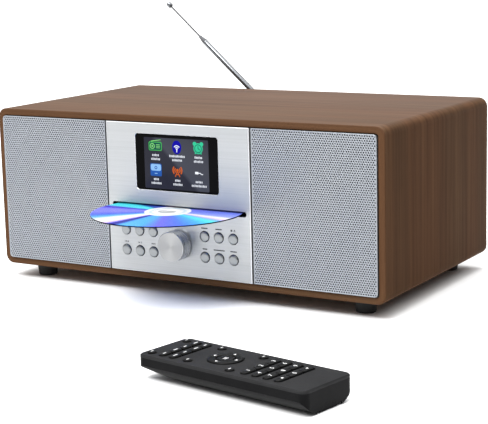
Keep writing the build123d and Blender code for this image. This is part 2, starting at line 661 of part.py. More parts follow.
def antenna_middle_tube():
    tube = rod_z(0, 0, TUBE_BORE_R - 0.05, 12, TUBE_END + 0.3)
    tube += cone_z(0, 0, TUBE_R, TUBE_END + 0.3, ROD_R + 0.4, COLLAR_END)
    return lean_antenna(tube - rod_z(0, 0, ROD_R + 0.05, 13, COLLAR_END + 1))


def antenna_rod():
    tip = rod_z(0, 0, 2.3, ROD_END, TIP_END)
    tip = chamfer(tip.edges().filter_by(GeomType.CIRCLE), 0.5)
    return lean_antenna(tip + rod_z(0, 0, ROD_R, 60, ROD_END))


# ---- handset: built flat at the origin, length along X, then laid in its place ------------

HANDSET_RIM_Z = 15.0
HANDSET_SIDE_Z = 10.0
HANDSET_TOP_Z = 17.0
HANDSET_FLOOR_Z = 12.0
BELLY_HALF_W = 9.0
BELLY_BEND_Y = 19.0
BELLY_BEND_Z = 3.9
KEYMAT_Z = 14.1
KEYMAT_TOP = 14.9
KEY_TOP = 18.1
KEY_GAP = 0.35
RING_X = -13.6
RING_R = 11.8
OK_R = 6.0
ROUND_KEYS = [(x, y) for x in (-62.6, -31.3, 4.1) for y in mirrored(16.4)]
ROUND_KEY_R = 3.0
FUNCTION_BARS = (-52.7, -43.8)
FUNCTION_BAR_L = 38.4
NUMBER_BARS = (15.8, 24.7, 33.6, 42.5)
NUMBER_BAR_L = 36.6
BAR_W = 5.6
DOOR_X0 = 10.0
DOOR_X1 = HANDSET_L / 2 - 0.5
DOOR_HALF_W = 12.0
CELL_Z = 7.45


def lay_handset(shape):
    return Pos(HANDSET_X, HANDSET_Y, 0) * Rot(0, 0, HANDSET_TURN) * shape


def belly_cutter(side):
    """What the handset's curved underside leaves away along one long edge."""
    start = (side * BELLY_HALF_W, 0)
    bend = (side * BELLY_BEND_Y, BELLY_BEND_Z)
    end = (side * (HANDSET_W / 2 + 1), HANDSET_SIDE_Z + 1.8)
    low_y = side * (HANDSET_W / 2 + 3)
    with BuildSketch(Plane.YZ) as section:
        with BuildLine():
            ThreePointArc(start, bend, end)
            Polyline(end, (low_y, HANDSET_SIDE_Z + 1.8), (low_y, -2), (start[0], -2), start)
        make_face()
    return extrude(section.sketch, HANDSET_L / 2 + 1, both=True)


def handset_lower_case():
    half_l, half_w = HANDSET_L / 2, HANDSET_W / 2
    case = extrude(RectangleRounded(HANDSET_L, HANDSET_W, 5), HANDSET_RIM_Z)
    for side in (-1, 1):
        case -= belly_cutter(side)
    tail = degrees(atan2(9.4, 42.0))
    case -= Pos(-half_l + 42, 0, 0) * Rot(0, tail, 0) * block(-70, 0, -half_w - 1, half_w + 1, -20, 0)
    case -= block(-half_l + 2, half_l - 2, -half_w + 2, half_w - 2, HANDSET_FLOOR_Z, HANDSET_RIM_Z + 1)
    case -= block(13, 64, -12.4, 12.4, 2.2, HANDSET_FLOOR_Z + 1)
    return lay_handset(case - block(DOOR_X0 - 0.5, half_l + 1, -DOOR_HALF_W - 0.4, DOOR_HALF_W + 0.4, -1, 2.2))


def handset_battery_door():
    door = block(DOOR_X0, DOOR_X1, -BELLY_HALF_W + 0.4, BELLY_HALF_W - 0.4, 0.4, 2.0)
    door += block(DOOR_X0, DOOR_X1, -DOOR_HALF_W, DOOR_HALF_W, 1.2, 2.0)
    for rib in range(4):
        x = DOOR_X1 - 16 + 2.4 * rib
        door -= block(x, x + 1.0, -7, 7, 0.2, 0.8)
    return lay_handset(door)


def handset_batteries():
    cells = []
    for y in mirrored(5.8):
        cell = rod_x(y, CELL_Z, 5.2, 15.5, 59) + rod_x(y, CELL_Z, 1.8, 59, 60)
        cells.append(lay_handset(cell))
    return cells


def handset_board():
    return lay_handset(block(-65, 50, -HANDSET_W / 2 + 2.4, HANDSET_W / 2 - 2.4, 12.7, 13.45))


def key_prints(gap):
    """Flat outlines of all keys, grown by gap on every side."""
    prints = [Pos(x, y) * Circle(ROUND_KEY_R + gap) for x, y in ROUND_KEYS]
    for x in FUNCTION_BARS:
        prints.append(Pos(x, 0) * SlotOverall(FUNCTION_BAR_L + 2 * gap, BAR_W + 2 * gap, rotation=90))
    for x in NUMBER_BARS:
        prints.append(Pos(x, 0) * SlotOverall(NUMBER_BAR_L + 2 * gap, BAR_W + 2 * gap, rotation=90))
    prints.append(Pos(RING_X, 0) * Circle(RING_R + gap))
    return prints


def handset_upper_case():
    plate = Pos(0, 0, HANDSET_RIM_Z) * extrude(
        RectangleRounded(HANDSET_L, HANDSET_W, 5), HANDSET_TOP_Z - HANDSET_RIM_Z
    )
    plate = chamfer(plate.faces().sort_by(Axis.Z)[-1].edges(), 0.8)
    for outline in key_prints(KEY_GAP):
        plate -= Pos(0, 0, HANDSET_RIM_Z - 1) * extrude(outline, 5)
    return lay_handset(plate)


def handset_keypad():
    mat = block(-66, 48, -HANDSET_W / 2 + 2.8, HANDSET_W / 2 - 2.8, KEYMAT_Z, KEYMAT_TOP)
    for outline in key_prints(0):
        mat += Pos(0, 0, KEYMAT_TOP) * extrude(outline, KEY_TOP - KEYMAT_TOP)
    groove = rod_z(RING_X, 0, OK_R + 0.5, KEY_TOP - 1.2, KEY_TOP + 1)
    groove -= rod_z(RING_X, 0, OK_R - 0.2, KEY_TOP - 2, KEY_TOP + 1)
    return lay_handset(mat - groove)


# ---- write every node ---------------------------------------------------------------------


def save(node, shape):
    solids = []
    for piece in shape if isinstance(shape, list) else [shape]:
        solids += piece.solids()
    export_step(solids[0] if len(solids) == 1 else Compound(children=solids), f"parts/{node}.step")


os.makedirs("parts", exist_ok=True)

save("cabinet_sleeve", cabinet_sleeve())
save("rear_panel", rear_panel())
save("rear_panel_screws", rear_panel_screws())
save("feet", feet())
save("front_baffle", front_baffle())
save("fascia_panel", fascia_panel())
save("left_grille", grille(-1))
save("right_grille", grille(1))
save("display_window", display_window())
save("display_module", display_module())
for name, (button_x, button_z) in BUTTONS.items():
    save(name, push_button(button_x, button_z))
save("tact_switches", tact_switches())
save("front_board", front_board())
save("encoder_body", encoder_body())
save("encoder_plunger", encoder_plunger())
save("encoder_shaft", encoder_shaft())
save("volume_knob", volume_knob())
save("speaker_frames", [shape(x) for x in mirrored(SPEAKER_X) for shape in (speaker_frame, speaker_magnet)])
save("speaker_screws", speaker_screws())
for name, x in (("left", -SPEAKER_X), ("right", SPEAKER_X)):
    save(f"{name}_speaker_cone", speaker_cone(x))
    save(f"{name}_speaker_surround", speaker_surround(x))
save("drive_chassis", drive_chassis())
save("drive_cover", drive_cover())
save("loading_roller", loading_roller())
save("loading_motor", loading_motor())
save("traverse_frame", traverse_frame())
save("guide_rods", guide_rods())
save("drive_motors", drive_motors())
save("spindle_hub", spindle_hub())
save("lead_screw", lead_screw())
save("pickup_sled", pickup_sled())
save("clamp_arm", clamp_arm())
save("clamp_puck", clamp_puck())
save("disc", disc())
save("main_board", main_board())
save("rear_sockets", rear_sockets())
save("antenna_bracket", antenna_bracket())
save("antenna_swivel", antenna_swivel())
save("antenna_outer_tube", antenna_outer_tube())
save("antenna_middle_tube", antenna_middle_tube())
save("antenna_rod", antenna_rod())
save("handset_lower_case", handset_lower_case())
save("handset_upper_case", handset_upper_case())
save("handset_battery_door", handset_battery_door())
save("handset_batteries", handset_batteries())
save("handset_board", handset_board())
save("handset_keypad", handset_keypad())
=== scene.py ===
import json
import math

import bmesh
import bpy
from mathutils import Matrix, Vector


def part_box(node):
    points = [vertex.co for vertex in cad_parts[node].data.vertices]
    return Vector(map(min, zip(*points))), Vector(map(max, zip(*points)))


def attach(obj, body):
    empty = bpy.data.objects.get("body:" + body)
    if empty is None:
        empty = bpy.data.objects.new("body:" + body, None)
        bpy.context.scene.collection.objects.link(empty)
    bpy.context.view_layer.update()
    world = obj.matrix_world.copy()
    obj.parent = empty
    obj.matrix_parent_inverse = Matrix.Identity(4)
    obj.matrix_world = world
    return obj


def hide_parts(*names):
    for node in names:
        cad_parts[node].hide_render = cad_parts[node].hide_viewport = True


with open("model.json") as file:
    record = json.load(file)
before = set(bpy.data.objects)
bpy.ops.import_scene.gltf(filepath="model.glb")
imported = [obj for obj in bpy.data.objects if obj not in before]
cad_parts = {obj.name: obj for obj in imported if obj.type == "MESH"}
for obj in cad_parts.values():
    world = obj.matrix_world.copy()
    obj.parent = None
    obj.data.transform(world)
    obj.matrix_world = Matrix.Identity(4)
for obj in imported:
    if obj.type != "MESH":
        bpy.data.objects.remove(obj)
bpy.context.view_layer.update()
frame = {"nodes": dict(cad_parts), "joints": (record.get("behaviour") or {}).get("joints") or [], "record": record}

# Lengths in this script are millimetres until a piece is made, and metres in the scene.
MM = 0.001
NO_MOVE = Matrix.Identity(4)
WHITE = (1.0, 1.0, 1.0)
BLACK = (0.0, 0.0, 0.0)


def span(node):
    """A CAD node's lowest and highest corners, in millimetres."""
    low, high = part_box(node)
    return low / MM, high / MM


def middle(node):
    low, high = span(node)
    return (low + high) / 2


def tone(red, green, blue):
    """A screen colour, 0 to 255 a channel, as the linear colour that shaders take."""
    channels = (red / 255, green / 255, blue / 255)
    return tuple(c / 12.92 if c <= 0.04045 else ((c + 0.055) / 1.055) ** 2.4 for c in channels)


def linked(name, data):
    """A new object that holds the data, in the scene."""
    made = bpy.data.objects.new(name, data)
    bpy.context.scene.collection.objects.link(made)
    return made


# ---- materials ----------------------------------------------------------------------------


class Surface:
    """A Principled material, with short calls for the nodes that vary it."""

    def __init__(self, name, colour, rough=0.5, metal=0.0, **sockets):
        self.material = bpy.data.materials.new(name)
        self.material.use_nodes = True
        self.material.diffuse_color = (*colour, 1.0)
        self.tree = self.material.node_tree
        self.shader = self.tree.nodes["Principled BSDF"]
        self.shader.inputs["Base Color"].default_value = (*colour, 1.0)
        self.shader.inputs["Roughness"].default_value = rough
        self.shader.inputs["Metallic"].default_value = metal
        for socket, value in sockets.items():
            self.shader.inputs[socket.replace("_", " ")].default_value = value

    def node(self, kind, **settings):
        made = self.tree.nodes.new(kind)
        for name, value in settings.items():
            setattr(made, name, value)
        return made

    def join(self, source, target):
        self.tree.links.new(source, target)

    def place(self, scale, shift=(0, 0, 0), turn=(0, 0, 0)):
        """Object coordinates in metres, moved, turned and scaled."""
        return self.mapped(self.node("ShaderNodeTexCoord").outputs["Object"], scale, shift, turn)

    def along(self, layer, scale):
        """The coordinates of a UV layer, scaled."""
        return self.mapped(self.node("ShaderNodeUVMap", uv_map=layer).outputs["UV"], scale)

    def mapped(self, source, scale, shift=(0, 0, 0), turn=(0, 0, 0)):
        mapping = self.node("ShaderNodeMapping")
        mapping.inputs["Scale"].default_value = scale
        mapping.inputs["Location"].default_value = shift
        mapping.inputs["Rotation"].default_value = turn
        self.join(source, mapping.inputs["Vector"])
        return mapping.outputs["Vector"]

    def axes(self, vector):
        """The X, Y and Z outputs of a vector."""
        parts = self.node("ShaderNodeSeparateXYZ")
        self.join(vector, parts.inputs["Vector"])
        return parts.outputs

    def grain(self, scale, detail=2):
        """Noise of one scale all ways, in grains to the metre."""
        return self.noise(self.place((scale, scale, scale)), detail=detail)

    def noise(self, vector, detail=3.0, rough=0.55, twist=0.0):
        texture = self.node("ShaderNodeTexNoise")
        texture.inputs["Scale"].default_value = 1.0
        texture.inputs["Detail"].default_value = detail
        texture.inputs["Roughness"].default_value = rough
        texture.inputs["Distortion"].default_value = twist
        self.join(vector, texture.inputs["Vector"])
        return texture.outputs["Fac"]

    def ramp(self, factor, stops, smooth=False):
        """stops is a list of (position, colour)."""
        ramp = self.node("ShaderNodeValToRGB")
        ramp.color_ramp.interpolation = "EASE" if smooth else "LINEAR"
        elements = ramp.color_ramp.elements
        elements.remove(elements[1])
        elements[0].position = stops[0][0]
        elements[0].color = (*stops[0][1], 1.0)
        for position, colour in stops[1:]:
            elements.new(position).color = (*colour, 1.0)
        self.join(factor, ramp.inputs["Fac"])
        return ramp.outputs["Color"]

    def mixed(self, factor, one, two, mode="MIX"):
        """one and two are colour sockets or colours, and factor is a socket or a number."""
        mix = self.node("ShaderNodeMix", data_type="RGBA", blend_type=mode)
        if isinstance(factor, (int, float)):
            mix.inputs[0].default_value = factor
        else:
            self.join(factor, mix.inputs[0])
        for socket, value in ((mix.inputs[6], one), (mix.inputs[7], two)):
            if isinstance(value, tuple):
                socket.default_value = (*value, 1.0)
            else:
                self.join(value, socket)
        return mix.outputs[2]

    def ranged(self, factor, low, high):
        """A factor from 0 to 1 as a number from low to high."""
        spread = self.node("ShaderNodeMapRange")
        spread.inputs["To Min"].default_value = low
        spread.inputs["To Max"].default_value = high
        self.join(factor, spread.inputs["Value"])
        return spread.outputs["Result"]

    def sums(self, operation, one, two=0.0):
        work = self.node("ShaderNodeMath", operation=operation)
        for socket, value in zip(work.inputs, (one, two)):
            if isinstance(value, (int, float)):
                socket.default_value = value
            else:
                self.join(value, socket)
        return work.outputs["Value"]

    def colour(self, source):
        self.join(source, self.shader.inputs["Base Color"])
        return self

    def roughness(self, source):
        self.join(source, self.shader.inputs["Roughness"])
        return self

    def glow(self, source, strength):
        self.join(source, self.shader.inputs["Emission Color"])
        self.shader.inputs["Emission Strength"].default_value = strength
        return self

    def bump(self, height, depth, strength=1.0):
        """depth in metres is how far the height's 0 and 1 stand apart."""
        bump = self.node("ShaderNodeBump")
        bump.inputs["Strength"].default_value = strength
        bump.inputs["Distance"].default_value = depth
        self.join(height, bump.inputs["Height"])
        self.join(bump.outputs["Normal"], self.shader.inputs["Normal"])
        return self

    def turned_angle(self, centre):
        """The angle about an upright axis through centre, 0 to 1 for a full turn, seen from above."""
        parts = self.axes(self.place((1, 1, 1), tuple(-c * MM for c in centre)))
        angle = self.sums("ARCTAN2", parts["Y"], parts["X"])
        return self.ranged(self.sums("DIVIDE", self.sums("ADD", angle, math.pi), 2 * math.pi), 0.0, 1.0)

    def radius(self, centre, axis):
        """The distance in metres from an axis through centre."""
        scale = (1, 0, 1) if axis == "y" else (1, 1, 0)
        shift = tuple(-c * MM * s for c, s in zip(centre, scale))
        length = self.node("ShaderNodeVectorMath", operation="LENGTH")
        self.join(self.place(scale, shift), length.inputs[0])
        return length.outputs["Value"]


def walnut_veneer():
    """Long-grained veneer, duller off the top, and darker on the box's two ends by painted shade.

    The grain runs along the UV layer's first axis, in metres.
    """
    wood = Surface("walnut_veneer", tone(84, 58, 42), rough=0.45, Specular_IOR_Level=0.13)
    fibres = wood.noise(wood.along("veneer", (5, 230, 1)), detail=5, rough=0.55)
    bands = wood.noise(wood.along("veneer", (1.4, 36, 1)), detail=3, twist=0.5)
    drift = wood.noise(wood.along("veneer", (1.8, 16, 1)), detail=2, twist=0.3)
    pores = wood.noise(wood.along("veneer", (60, 2200, 1)), detail=2)

    def fibre_tones(dark, middling, pale):
        return wood.ramp(fibres, [(0.25, tone(*dark)), (0.55, tone(*middling)), (0.8, tone(*pale))])

    red_brown = fibre_tones((74, 49, 31), (90, 62, 41), (101, 71, 48))
    olive = fibre_tones((71, 49, 31), (87, 62, 42), (97, 72, 49))
    hue = wood.ramp(drift, [(0.4, BLACK), (0.6, WHITE)], smooth=True)
    grain = wood.mixed(hue, red_brown, olive)
    shade = wood.ramp(bands, [(0.3, (0.72, 0.72, 0.72)), (0.6, WHITE)], smooth=True)
    grain = wood.mixed(0.7, grain, shade, mode="MULTIPLY")
    dark_pores = wood.ramp(pores, [(0.33, (0.62, 0.58, 0.54)), (0.42, WHITE)])
    grain = wood.mixed(0.45, grain, dark_pores, mode="MULTIPLY")
    facing = wood.axes(wood.node("ShaderNodeNewGeometry").outputs["Normal"])
    # Painted shade: faces that look along the world's X, the box's two ends, are darkened by a fixed factor.
    painted_end_shade = (0.63, 0.6, 0.54)
    painted_shade_on_ends = wood.ramp(wood.sums("ABSOLUTE", facing["X"]), [(0.7, WHITE), (0.95, painted_end_shade)])
    wood.colour(wood.mixed(1.0, grain, painted_shade_on_ends, mode="MULTIPLY"))
    wood.bump(wood.sums("ADD", fibres, pores), 0.00004, 0.3)
    turned_from_top = wood.sums("SUBTRACT", 1.0, wood.sums("MAXIMUM", facing["Z"], 0.0))
    dull = wood.sums("MULTIPLY", turned_from_top, 0.5)
    wood.roughness(wood.sums("ADD", wood.ranged(fibres, 0.48, 0.36), dull))
    return wood.material


def brushed_silver():
    metal = Surface("brushed_silver", tone(214, 219, 226), rough=0.4, metal=0.7, Specular_IOR_Level=0.2)
    strokes = metal.noise(metal.place((5, 300, 1400)), detail=3, rough=0.7)
    broad = metal.noise(metal.place((6, 40, 90)), detail=2)
    fine = metal.ramp(strokes, [(0.3, tone(168, 170, 171)), (0.7, tone(179, 181, 182))])
    soft = metal.ramp(broad, [(0.3, (0.96, 0.965, 0.97)), (0.7, WHITE)])
    metal.colour(metal.mixed(1.0, fine, soft, mode="MULTIPLY"))
    metal.roughness(metal.ranged(strokes, 0.34, 0.5))
    metal.bump(strokes, 0.00001, 0.3)
    return metal.material


def satin_buttons():
    metal = Surface("satin_buttons", tone(214, 217, 222), rough=0.28, metal=1.0)
    grain = metal.grain(2200)
    metal.colour(metal.ramp(grain, [(0.3, tone(129, 132, 134)), (0.7, tone(138, 141, 143))]))
    metal.roughness(metal.ranged(grain, 0.24, 0.36))
    return metal.material


def grille_silver():
    metal = Surface("grille_silver", tone(184, 193, 206), rough=0.42, metal=0.75)
    fine = metal.grain(700)
    wide = metal.grain(14)
    spray = metal.ramp(fine, [(0.3, tone(152, 156, 162)), (0.7, tone(163, 167, 172))])
    sweep = metal.ramp(wide, [(0.3, (0.95, 0.96, 0.98)), (0.7, WHITE)])
    metal.colour(metal.mixed(1.0, spray, sweep, mode="MULTIPLY"))
    metal.roughness(metal.ranged(fine, 0.36, 0.48))
    return metal.material


def spun_face():
    """A lathe-turned face: fine rings, which stretch each highlight into wedges about the centre."""
    metal = Surface("spun_silver", tone(214, 216, 219), rough=0.34, metal=1.0, Anisotropic=0.75)
    around = metal.node("ShaderNodeTangent", direction_type="RADIAL", axis="Y")
    metal.join(around.outputs["Tangent"], metal.shader.inputs["Tangent"])
    reach = metal.radius(middle("volume_knob"), "y")
    rings = metal.noise(metal.mapped(reach, (5200, 5200, 5200)), detail=2)
    metal.colour(metal.ramp(rings, [(0.3, tone(143, 144, 145)), (0.7, tone(155, 156, 157))]))
    metal.roughness(metal.ranged(rings, 0.28, 0.4))
    metal.bump(rings, 0.00001, 0.3)
    return metal.material


def knob_side():
    """The knob's side, with fine turning lines round its axis."""
    metal = Surface("knob_side", tone(190, 192, 195), rough=0.25, metal=1.0)
    turning = metal.noise(metal.place((40, 2600, 40)), detail=2)
    metal.colour(metal.ramp(turning, [(0.3, tone(172, 174, 177)), (0.7, tone(190, 192, 195))]))
    metal.roughness(metal.ranged(turning, 0.2, 0.34))
    return metal.material


def polished(name, colour, rough):
    """Bright metal with faint smears."""
    metal = Surface(name, colour, rough=rough, metal=1.0)
    smear = metal.grain(60, detail=4)
    metal.roughness(metal.ranged(smear, rough * 0.7, rough * 1.6))
    darker = tuple(0.88 * c for c in colour)
    metal.colour(metal.ramp(smear, [(0.35, darker), (0.65, colour)]))
    return metal.material


def textured_plastic(name, colour, rough, grain=2600, depth=0.00003, **sockets):
    """Moulded plastic with a fine spark-eroded grain."""
    plastic = Surface(name, colour, rough=rough, **sockets)
    dots = plastic.grain(grain)
    cloud = plastic.grain(35, detail=3)
    lighter = tuple(min(1.0, 1.25 * c + 0.002) for c in colour)
    plastic.colour(plastic.ramp(cloud, [(0.35, colour), (0.7, lighter)]))
    plastic.roughness(plastic.ranged(dots, rough * 0.85, min(1.0, rough * 1.2)))
    plastic.bump(dots, depth, 0.4)
    return plastic.material


def window_black():
    glass = Surface("black_window", (0.002, 0.002, 0.0025), rough=0.08, Specular_IOR_Level=0.03)
    smear = glass.grain(25, detail=5)
    glass.roughness(glass.ranged(smear, 0.03, 0.1))
    glass.colour(glass.ramp(smear, [(0.4, (0.0008, 0.0008, 0.001)), (0.7, (0.002, 0.002, 0.0025))]))
    return glass.material


def lit_screen():
    """The lit panel: slate blue, paler towards one corner and along a slanted band."""
    low, high = span("display_module")
    width, height = high.x - low.x, high.z - low.z
    panel = Surface("lit_screen", (0.004, 0.004, 0.006), rough=0.2, Specular_IOR_Level=0.05)
    scale = (1 / (width * MM), 1, 1 / (height * MM))
    parts = panel.axes(panel.place(scale, (-low.x / width, 0, -low.z / height)))
    rightward = panel.sums("MULTIPLY", parts["X"], 0.62)
    upward = panel.sums("MULTIPLY", parts["Z"], 0.38)
    slate, dim, dusk = tone(52, 54, 66), tone(44, 45, 56), tone(48, 49, 60)
    pale, fading = tone(78, 81, 92), tone(74, 76, 86)
    stops = [(0.0, slate), (0.3, dim), (0.47, dusk), (0.51, pale), (0.75, fading), (1.0, slate)]
    colour = panel.ramp(panel.sums("ADD", rightward, upward), stops)
    cells = panel.noise(panel.place((4200, 1, 4200)), detail=1)
    grid = panel.ramp(cells, [(0.3, (0.86, 0.86, 0.88)), (0.7, WHITE)])
    panel.glow(panel.mixed(0.5, colour, grid, mode="MULTIPLY"), 0.85)
    return panel.material


def lit_ink(name, colour, strength=0.9):
    """Something that the screen draws, with a soft change of brightness up each row of icons."""
    foot = span("display_module")[0].z
    half_row = 9.7
    ink = Surface(name, tuple(0.15 * c for c in colour), rough=0.3, Specular_IOR_Level=0.05)
    parts = ink.axes(ink.place((1, 1, 1 / (half_row * MM)), (0, 0, -foot / half_row)))
    wave = ink.sums("FRACT", ink.sums("MULTIPLY", parts["Z"], 0.5))
    darker = tuple(0.72 * c for c in colour)
    ink.glow(ink.ramp(wave, [(0.2, darker), (0.9, colour)]), strength)
    return ink.material


def printed_ink(name, colour, rough=0.5):
    ink = Surface(name, colour, rough=rough)
    edge = ink.grain(1800)
    lighter = tuple(min(1.0, 1.3 * c + 0.01) for c in colour)
    ink.colour(ink.ramp(edge, [(0.35, colour), (0.75, lighter)]))
    return ink.material


DISC_R = 60.0


def disc_face():
    """The disc's mirror: bands of colour that spread out from the middle, which are painted reflections at fixed
    angles on the disc with a faint painted glow, and a clear hub.
    """
    centre = middle("disc")
    mirror = Surface("disc_face", tone(150, 170, 255), rough=0.35, Specular_IOR_Level=0.08)
    violet, blue, sky = tone(128, 128, 250), tone(78, 98, 228), tone(84, 172, 252)
    white, pink, deep = tone(250, 250, 255), tone(240, 206, 255), tone(26, 22, 150)
    aqua, cobalt, indigo = tone(78, 226, 238), tone(50, 84, 180), tone(66, 52, 206)
    # These colour stops are painted reflection: the mirror's rainbow bands and white highlights, laid out by angle
    # about the disc's centre.
    stops = [(0.01, indigo), (0.022, violet), (0.065, violet), (0.1, blue), (0.13, sky), (0.16, white)]
    stops += [(0.183, white), (0.196, pink), (0.208, violet), (0.214, deep), (0.229, deep), (0.243, sky)]
    stops += [(0.285, sky), (0.322, tone(112, 106, 246)), (0.37, tone(78, 118, 244))]
    stops += [(0.41, tone(70, 170, 246)), (0.437, aqua), (0.455, tone(130, 176, 250)), (0.468, pink)]
    stops += [(0.478, white), (0.494, tone(146, 160, 250)), (0.54, tone(112, 132, 240)), (0.62, violet)]
    stops += [(0.7, sky), (0.78, white), (0.82, pink), (0.86, blue), (0.93, cobalt), (0.95, aqua)]
    stops += [(0.985, aqua), (0.997, indigo)]
    painted_reflections = mirror.ramp(mirror.turned_angle(centre), stops)
    reach = mirror.sums("DIVIDE", mirror.radius(centre, "z"), DISC_R * MM)
    grooves = mirror.noise(mirror.mapped(reach, (900, 900, 900)), detail=1)
    lines = mirror.ramp(grooves, [(0.3, (0.9, 0.9, 0.92)), (0.7, WHITE)])
    painted_reflections = mirror.mixed(0.5, painted_reflections, lines, mode="MULTIPLY")
    hub, pale = tone(244, 246, 250), tone(206, 226, 240)
    hub_mask = mirror.ramp(reach, [(0.3, WHITE), (0.31, BLACK)])
    ring_mask = mirror.ramp(reach, [(0.2, BLACK), (0.21, WHITE), (0.24, WHITE), (0.25, BLACK)])
    painted_reflections = mirror.mixed(hub_mask, painted_reflections, mirror.mixed(ring_mask, hub, pale))
    mirror.colour(mirror.mixed(1.0, painted_reflections, (0.66, 0.66, 0.66), mode="MULTIPLY"))
    # A faint painted glow of the same colours, though the disc is no lamp.
    mirror.glow(painted_reflections, 0.06)
    mirror.roughness(mirror.ranged(grooves, 0.22, 0.36))
    return mirror.material


def circuit_board():
    board = Surface("circuit_board", tone(28, 84, 48), rough=0.4, Coat_Weight=0.3)
    cells = board.node("ShaderNodeTexVoronoi", feature="F1", distance="MANHATTAN")
    board.join(board.place((260, 260, 260)), cells.inputs["Vector"])
    cells.inputs["Scale"].default_value = 1.0
    greens = [(0.3, tone(24, 76, 44)), (0.42, tone(48, 112, 66)), (0.6, tone(20, 66, 38))]
    board.colour(board.ramp(cells.outputs["Distance"], greens))
    board.bump(cells.outputs["Distance"], 0.00003, 0.3)
    return board.material


def cell_wrap():
    """A cell's sleeve: copper-coloured at one end, black along the rest."""
    wrap = Surface("cell_wrap", tone(30, 30, 32), rough=0.3, Coat_Weight=0.5)
    low, high = span("handset_batteries")
    reach = high.x - low.x
    parts = wrap.axes(wrap.place((1 / (reach * MM), 1, 1), (-low.x / reach, 0, 0)))
    bands = [(0.66, tone(26, 26, 28)), (0.68, tone(196, 120, 62)), (1.0, tone(206, 130, 70))]
    wrap.colour(wrap.ramp(parts["X"], bands))
    return wrap.material


SURFACES = {
    "walnut": walnut_veneer(),
    "black_board": textured_plastic("black_board", tone(26, 26, 27), 0.72, grain=1500),
    "brushed_silver": brushed_silver(),
    "silver_mesh": grille_silver(),
    "black_acrylic": window_black(),
    "lcd": textured_plastic("display_back", tone(60, 62, 64), 0.5),
    "silver_plastic": satin_buttons(),
    "spun_silver": spun_face(),
    "black_plastic": textured_plastic("black_plastic", tone(46, 46, 48), 0.5),
    "black_gloss": textured_plastic("black_gloss", tone(22, 22, 24), 0.2, depth=0.000005),
    "board_green": circuit_board(),
    "steel": polished("zinc_steel", tone(178, 181, 186), 0.32),
    "black_rubber": textured_plastic("black_rubber", tone(22, 22, 22), 0.8, grain=900),
    "cone_paper": textured_plastic("cone_paper", tone(52, 52, 55), 0.85, grain=700, depth=0.00008),
    "polished_chrome": polished("polished_chrome", tone(236, 238, 240), 0.07),
    "disc_mirror": disc_face(),
    "cell_wrap": cell_wrap(),
    "white_plastic": textured_plastic("white_plastic", tone(214, 214, 208), 0.45),
}
SMOOTH = 0.000005
HANDSET_TOP = textured_plastic("handset_top", tone(28, 28, 29), 0.55, grain=1900, Specular_IOR_Level=0.1)
HANDSET_SIDE = textured_plastic(
    "handset_side", tone(11, 11, 12), 0.22, grain=2400, depth=SMOOTH, Specular_IOR_Level=0.04
)
KEY_RUBBER = textured_plastic(
    "key_rubber", tone(6, 6, 6), 0.4, grain=2000, depth=0.00001, Specular_IOR_Level=0.09
)
KEY_PRINT = printed_ink("key_print", tone(226, 226, 226))
PANEL_PRINT = printed_ink("panel_print", tone(34, 37, 41))
SCREEN = lit_screen()
KNOB_SIDE = knob_side()
# Dark grey for the buttons' eased edges and side walls, as painted shade: a dark ring of shade round each silver
# cap.
BUTTON_PAINTED_SHADE = textured_plastic("button_painted_shade", tone(58, 60, 63), 0.4, depth=SMOOTH, Specular_IOR_Level=0.2)
# Polished metal for the fascia's bevel strips. Its lighter tone than the fascia is a painted highlight along the
# edges.
BEVEL_HIGHLIGHT_METAL = polished("bright_edge", tone(232, 234, 236), 0.3)
DISC_EDGE = textured_plastic("disc_edge", tone(6, 6, 18), 0.3, depth=SMOOTH, Specular_IOR_Level=0.02)
TUBE_CHROME = polished("drawn_chrome", tone(112, 114, 117), 0.16)
ROD_CHROME = textured_plastic("rod_chrome", tone(78, 79, 82), 0.25, depth=0.000002, Specular_IOR_Level=0.04)
COLLAR_CHROME = textured_plastic(
    "collar_chrome", tone(104, 105, 108), 0.25, depth=0.000002, Specular_IOR_Level=0.02
)

# ---- mesh tools ---------------------------------------------------------------------------


def loft(rings, loop=False, caps=True):
    """Joins rings of points. A ring of one point is a tip."""
    points, faces, starts = [], [], []
    for ring in rings:
        starts.append(len(points))
        points += ring
    pairs = [(i, i + 1) for i in range(len(rings) - 1)]
    if loop:
        pairs.append((len(rings) - 1, 0))
    for a, b in pairs:
        step_a, step_b = len(rings[a]) > 1, len(rings[b]) > 1
        count = max(len(rings[a]), len(rings[b]))
        for i in range(count):
            j = (i + 1) % count
            corners = [
                starts[a] + i * step_a,
                starts[a] + j * step_a,
                starts[b] + j * step_b,
                starts[b] + i * step_b,
            ]
            faces.append(list(dict.fromkeys(corners)))
    if caps and not loop:
        for start, ring in ((starts[0], rings[0]), (starts[-1], rings[-1])):
            if len(ring) > 2:
                faces.append([start + i for i in range(len(ring))])
    return points, faces


def turned(profile, segments=96, loop=False):
    """A (radius, height) profile turned about the local Z axis."""
    rings = []
    for radius, height in profile:
        if radius < 1e-6:
            rings.append([(0, 0, height)])
            continue
        turns = [2 * math.pi * i / segments for i in range(segments)]
        rings.append([(radius * math.cos(t), radius * math.sin(t), height) for t in turns])
    return loft(rings, loop=loop)


def rounded(half_w, half_h, radius, steps=5):
    """The points of a rounded rectangle, anticlockwise from its lower right corner."""
    radius = max(0.01, min(radius, half_w, half_h))
    points = []
    for quarter, (sx, sy) in enumerate(((1, -1), (1, 1), (-1, 1), (-1, -1))):
        for step in range(steps + 1):
            turn = math.pi / 2 * (quarter - 1 + step / steps)
            x = sx * (half_w - radius) + radius * math.cos(turn)
            y = sy * (half_h - radius) + radius * math.sin(turn)
            points.append((x, y))
    return points


def stacked(half_w, half_h, radius, levels, steps=5):
    """Rounded rectangles on top of each other. Each level is (inset, height)."""
    rings = []
    for inset, height in levels:
        outline = rounded(half_w - inset, half_h - inset, radius - inset, steps)
        rings.append([(x, y, height) for x, y in outline])
    return loft(rings)


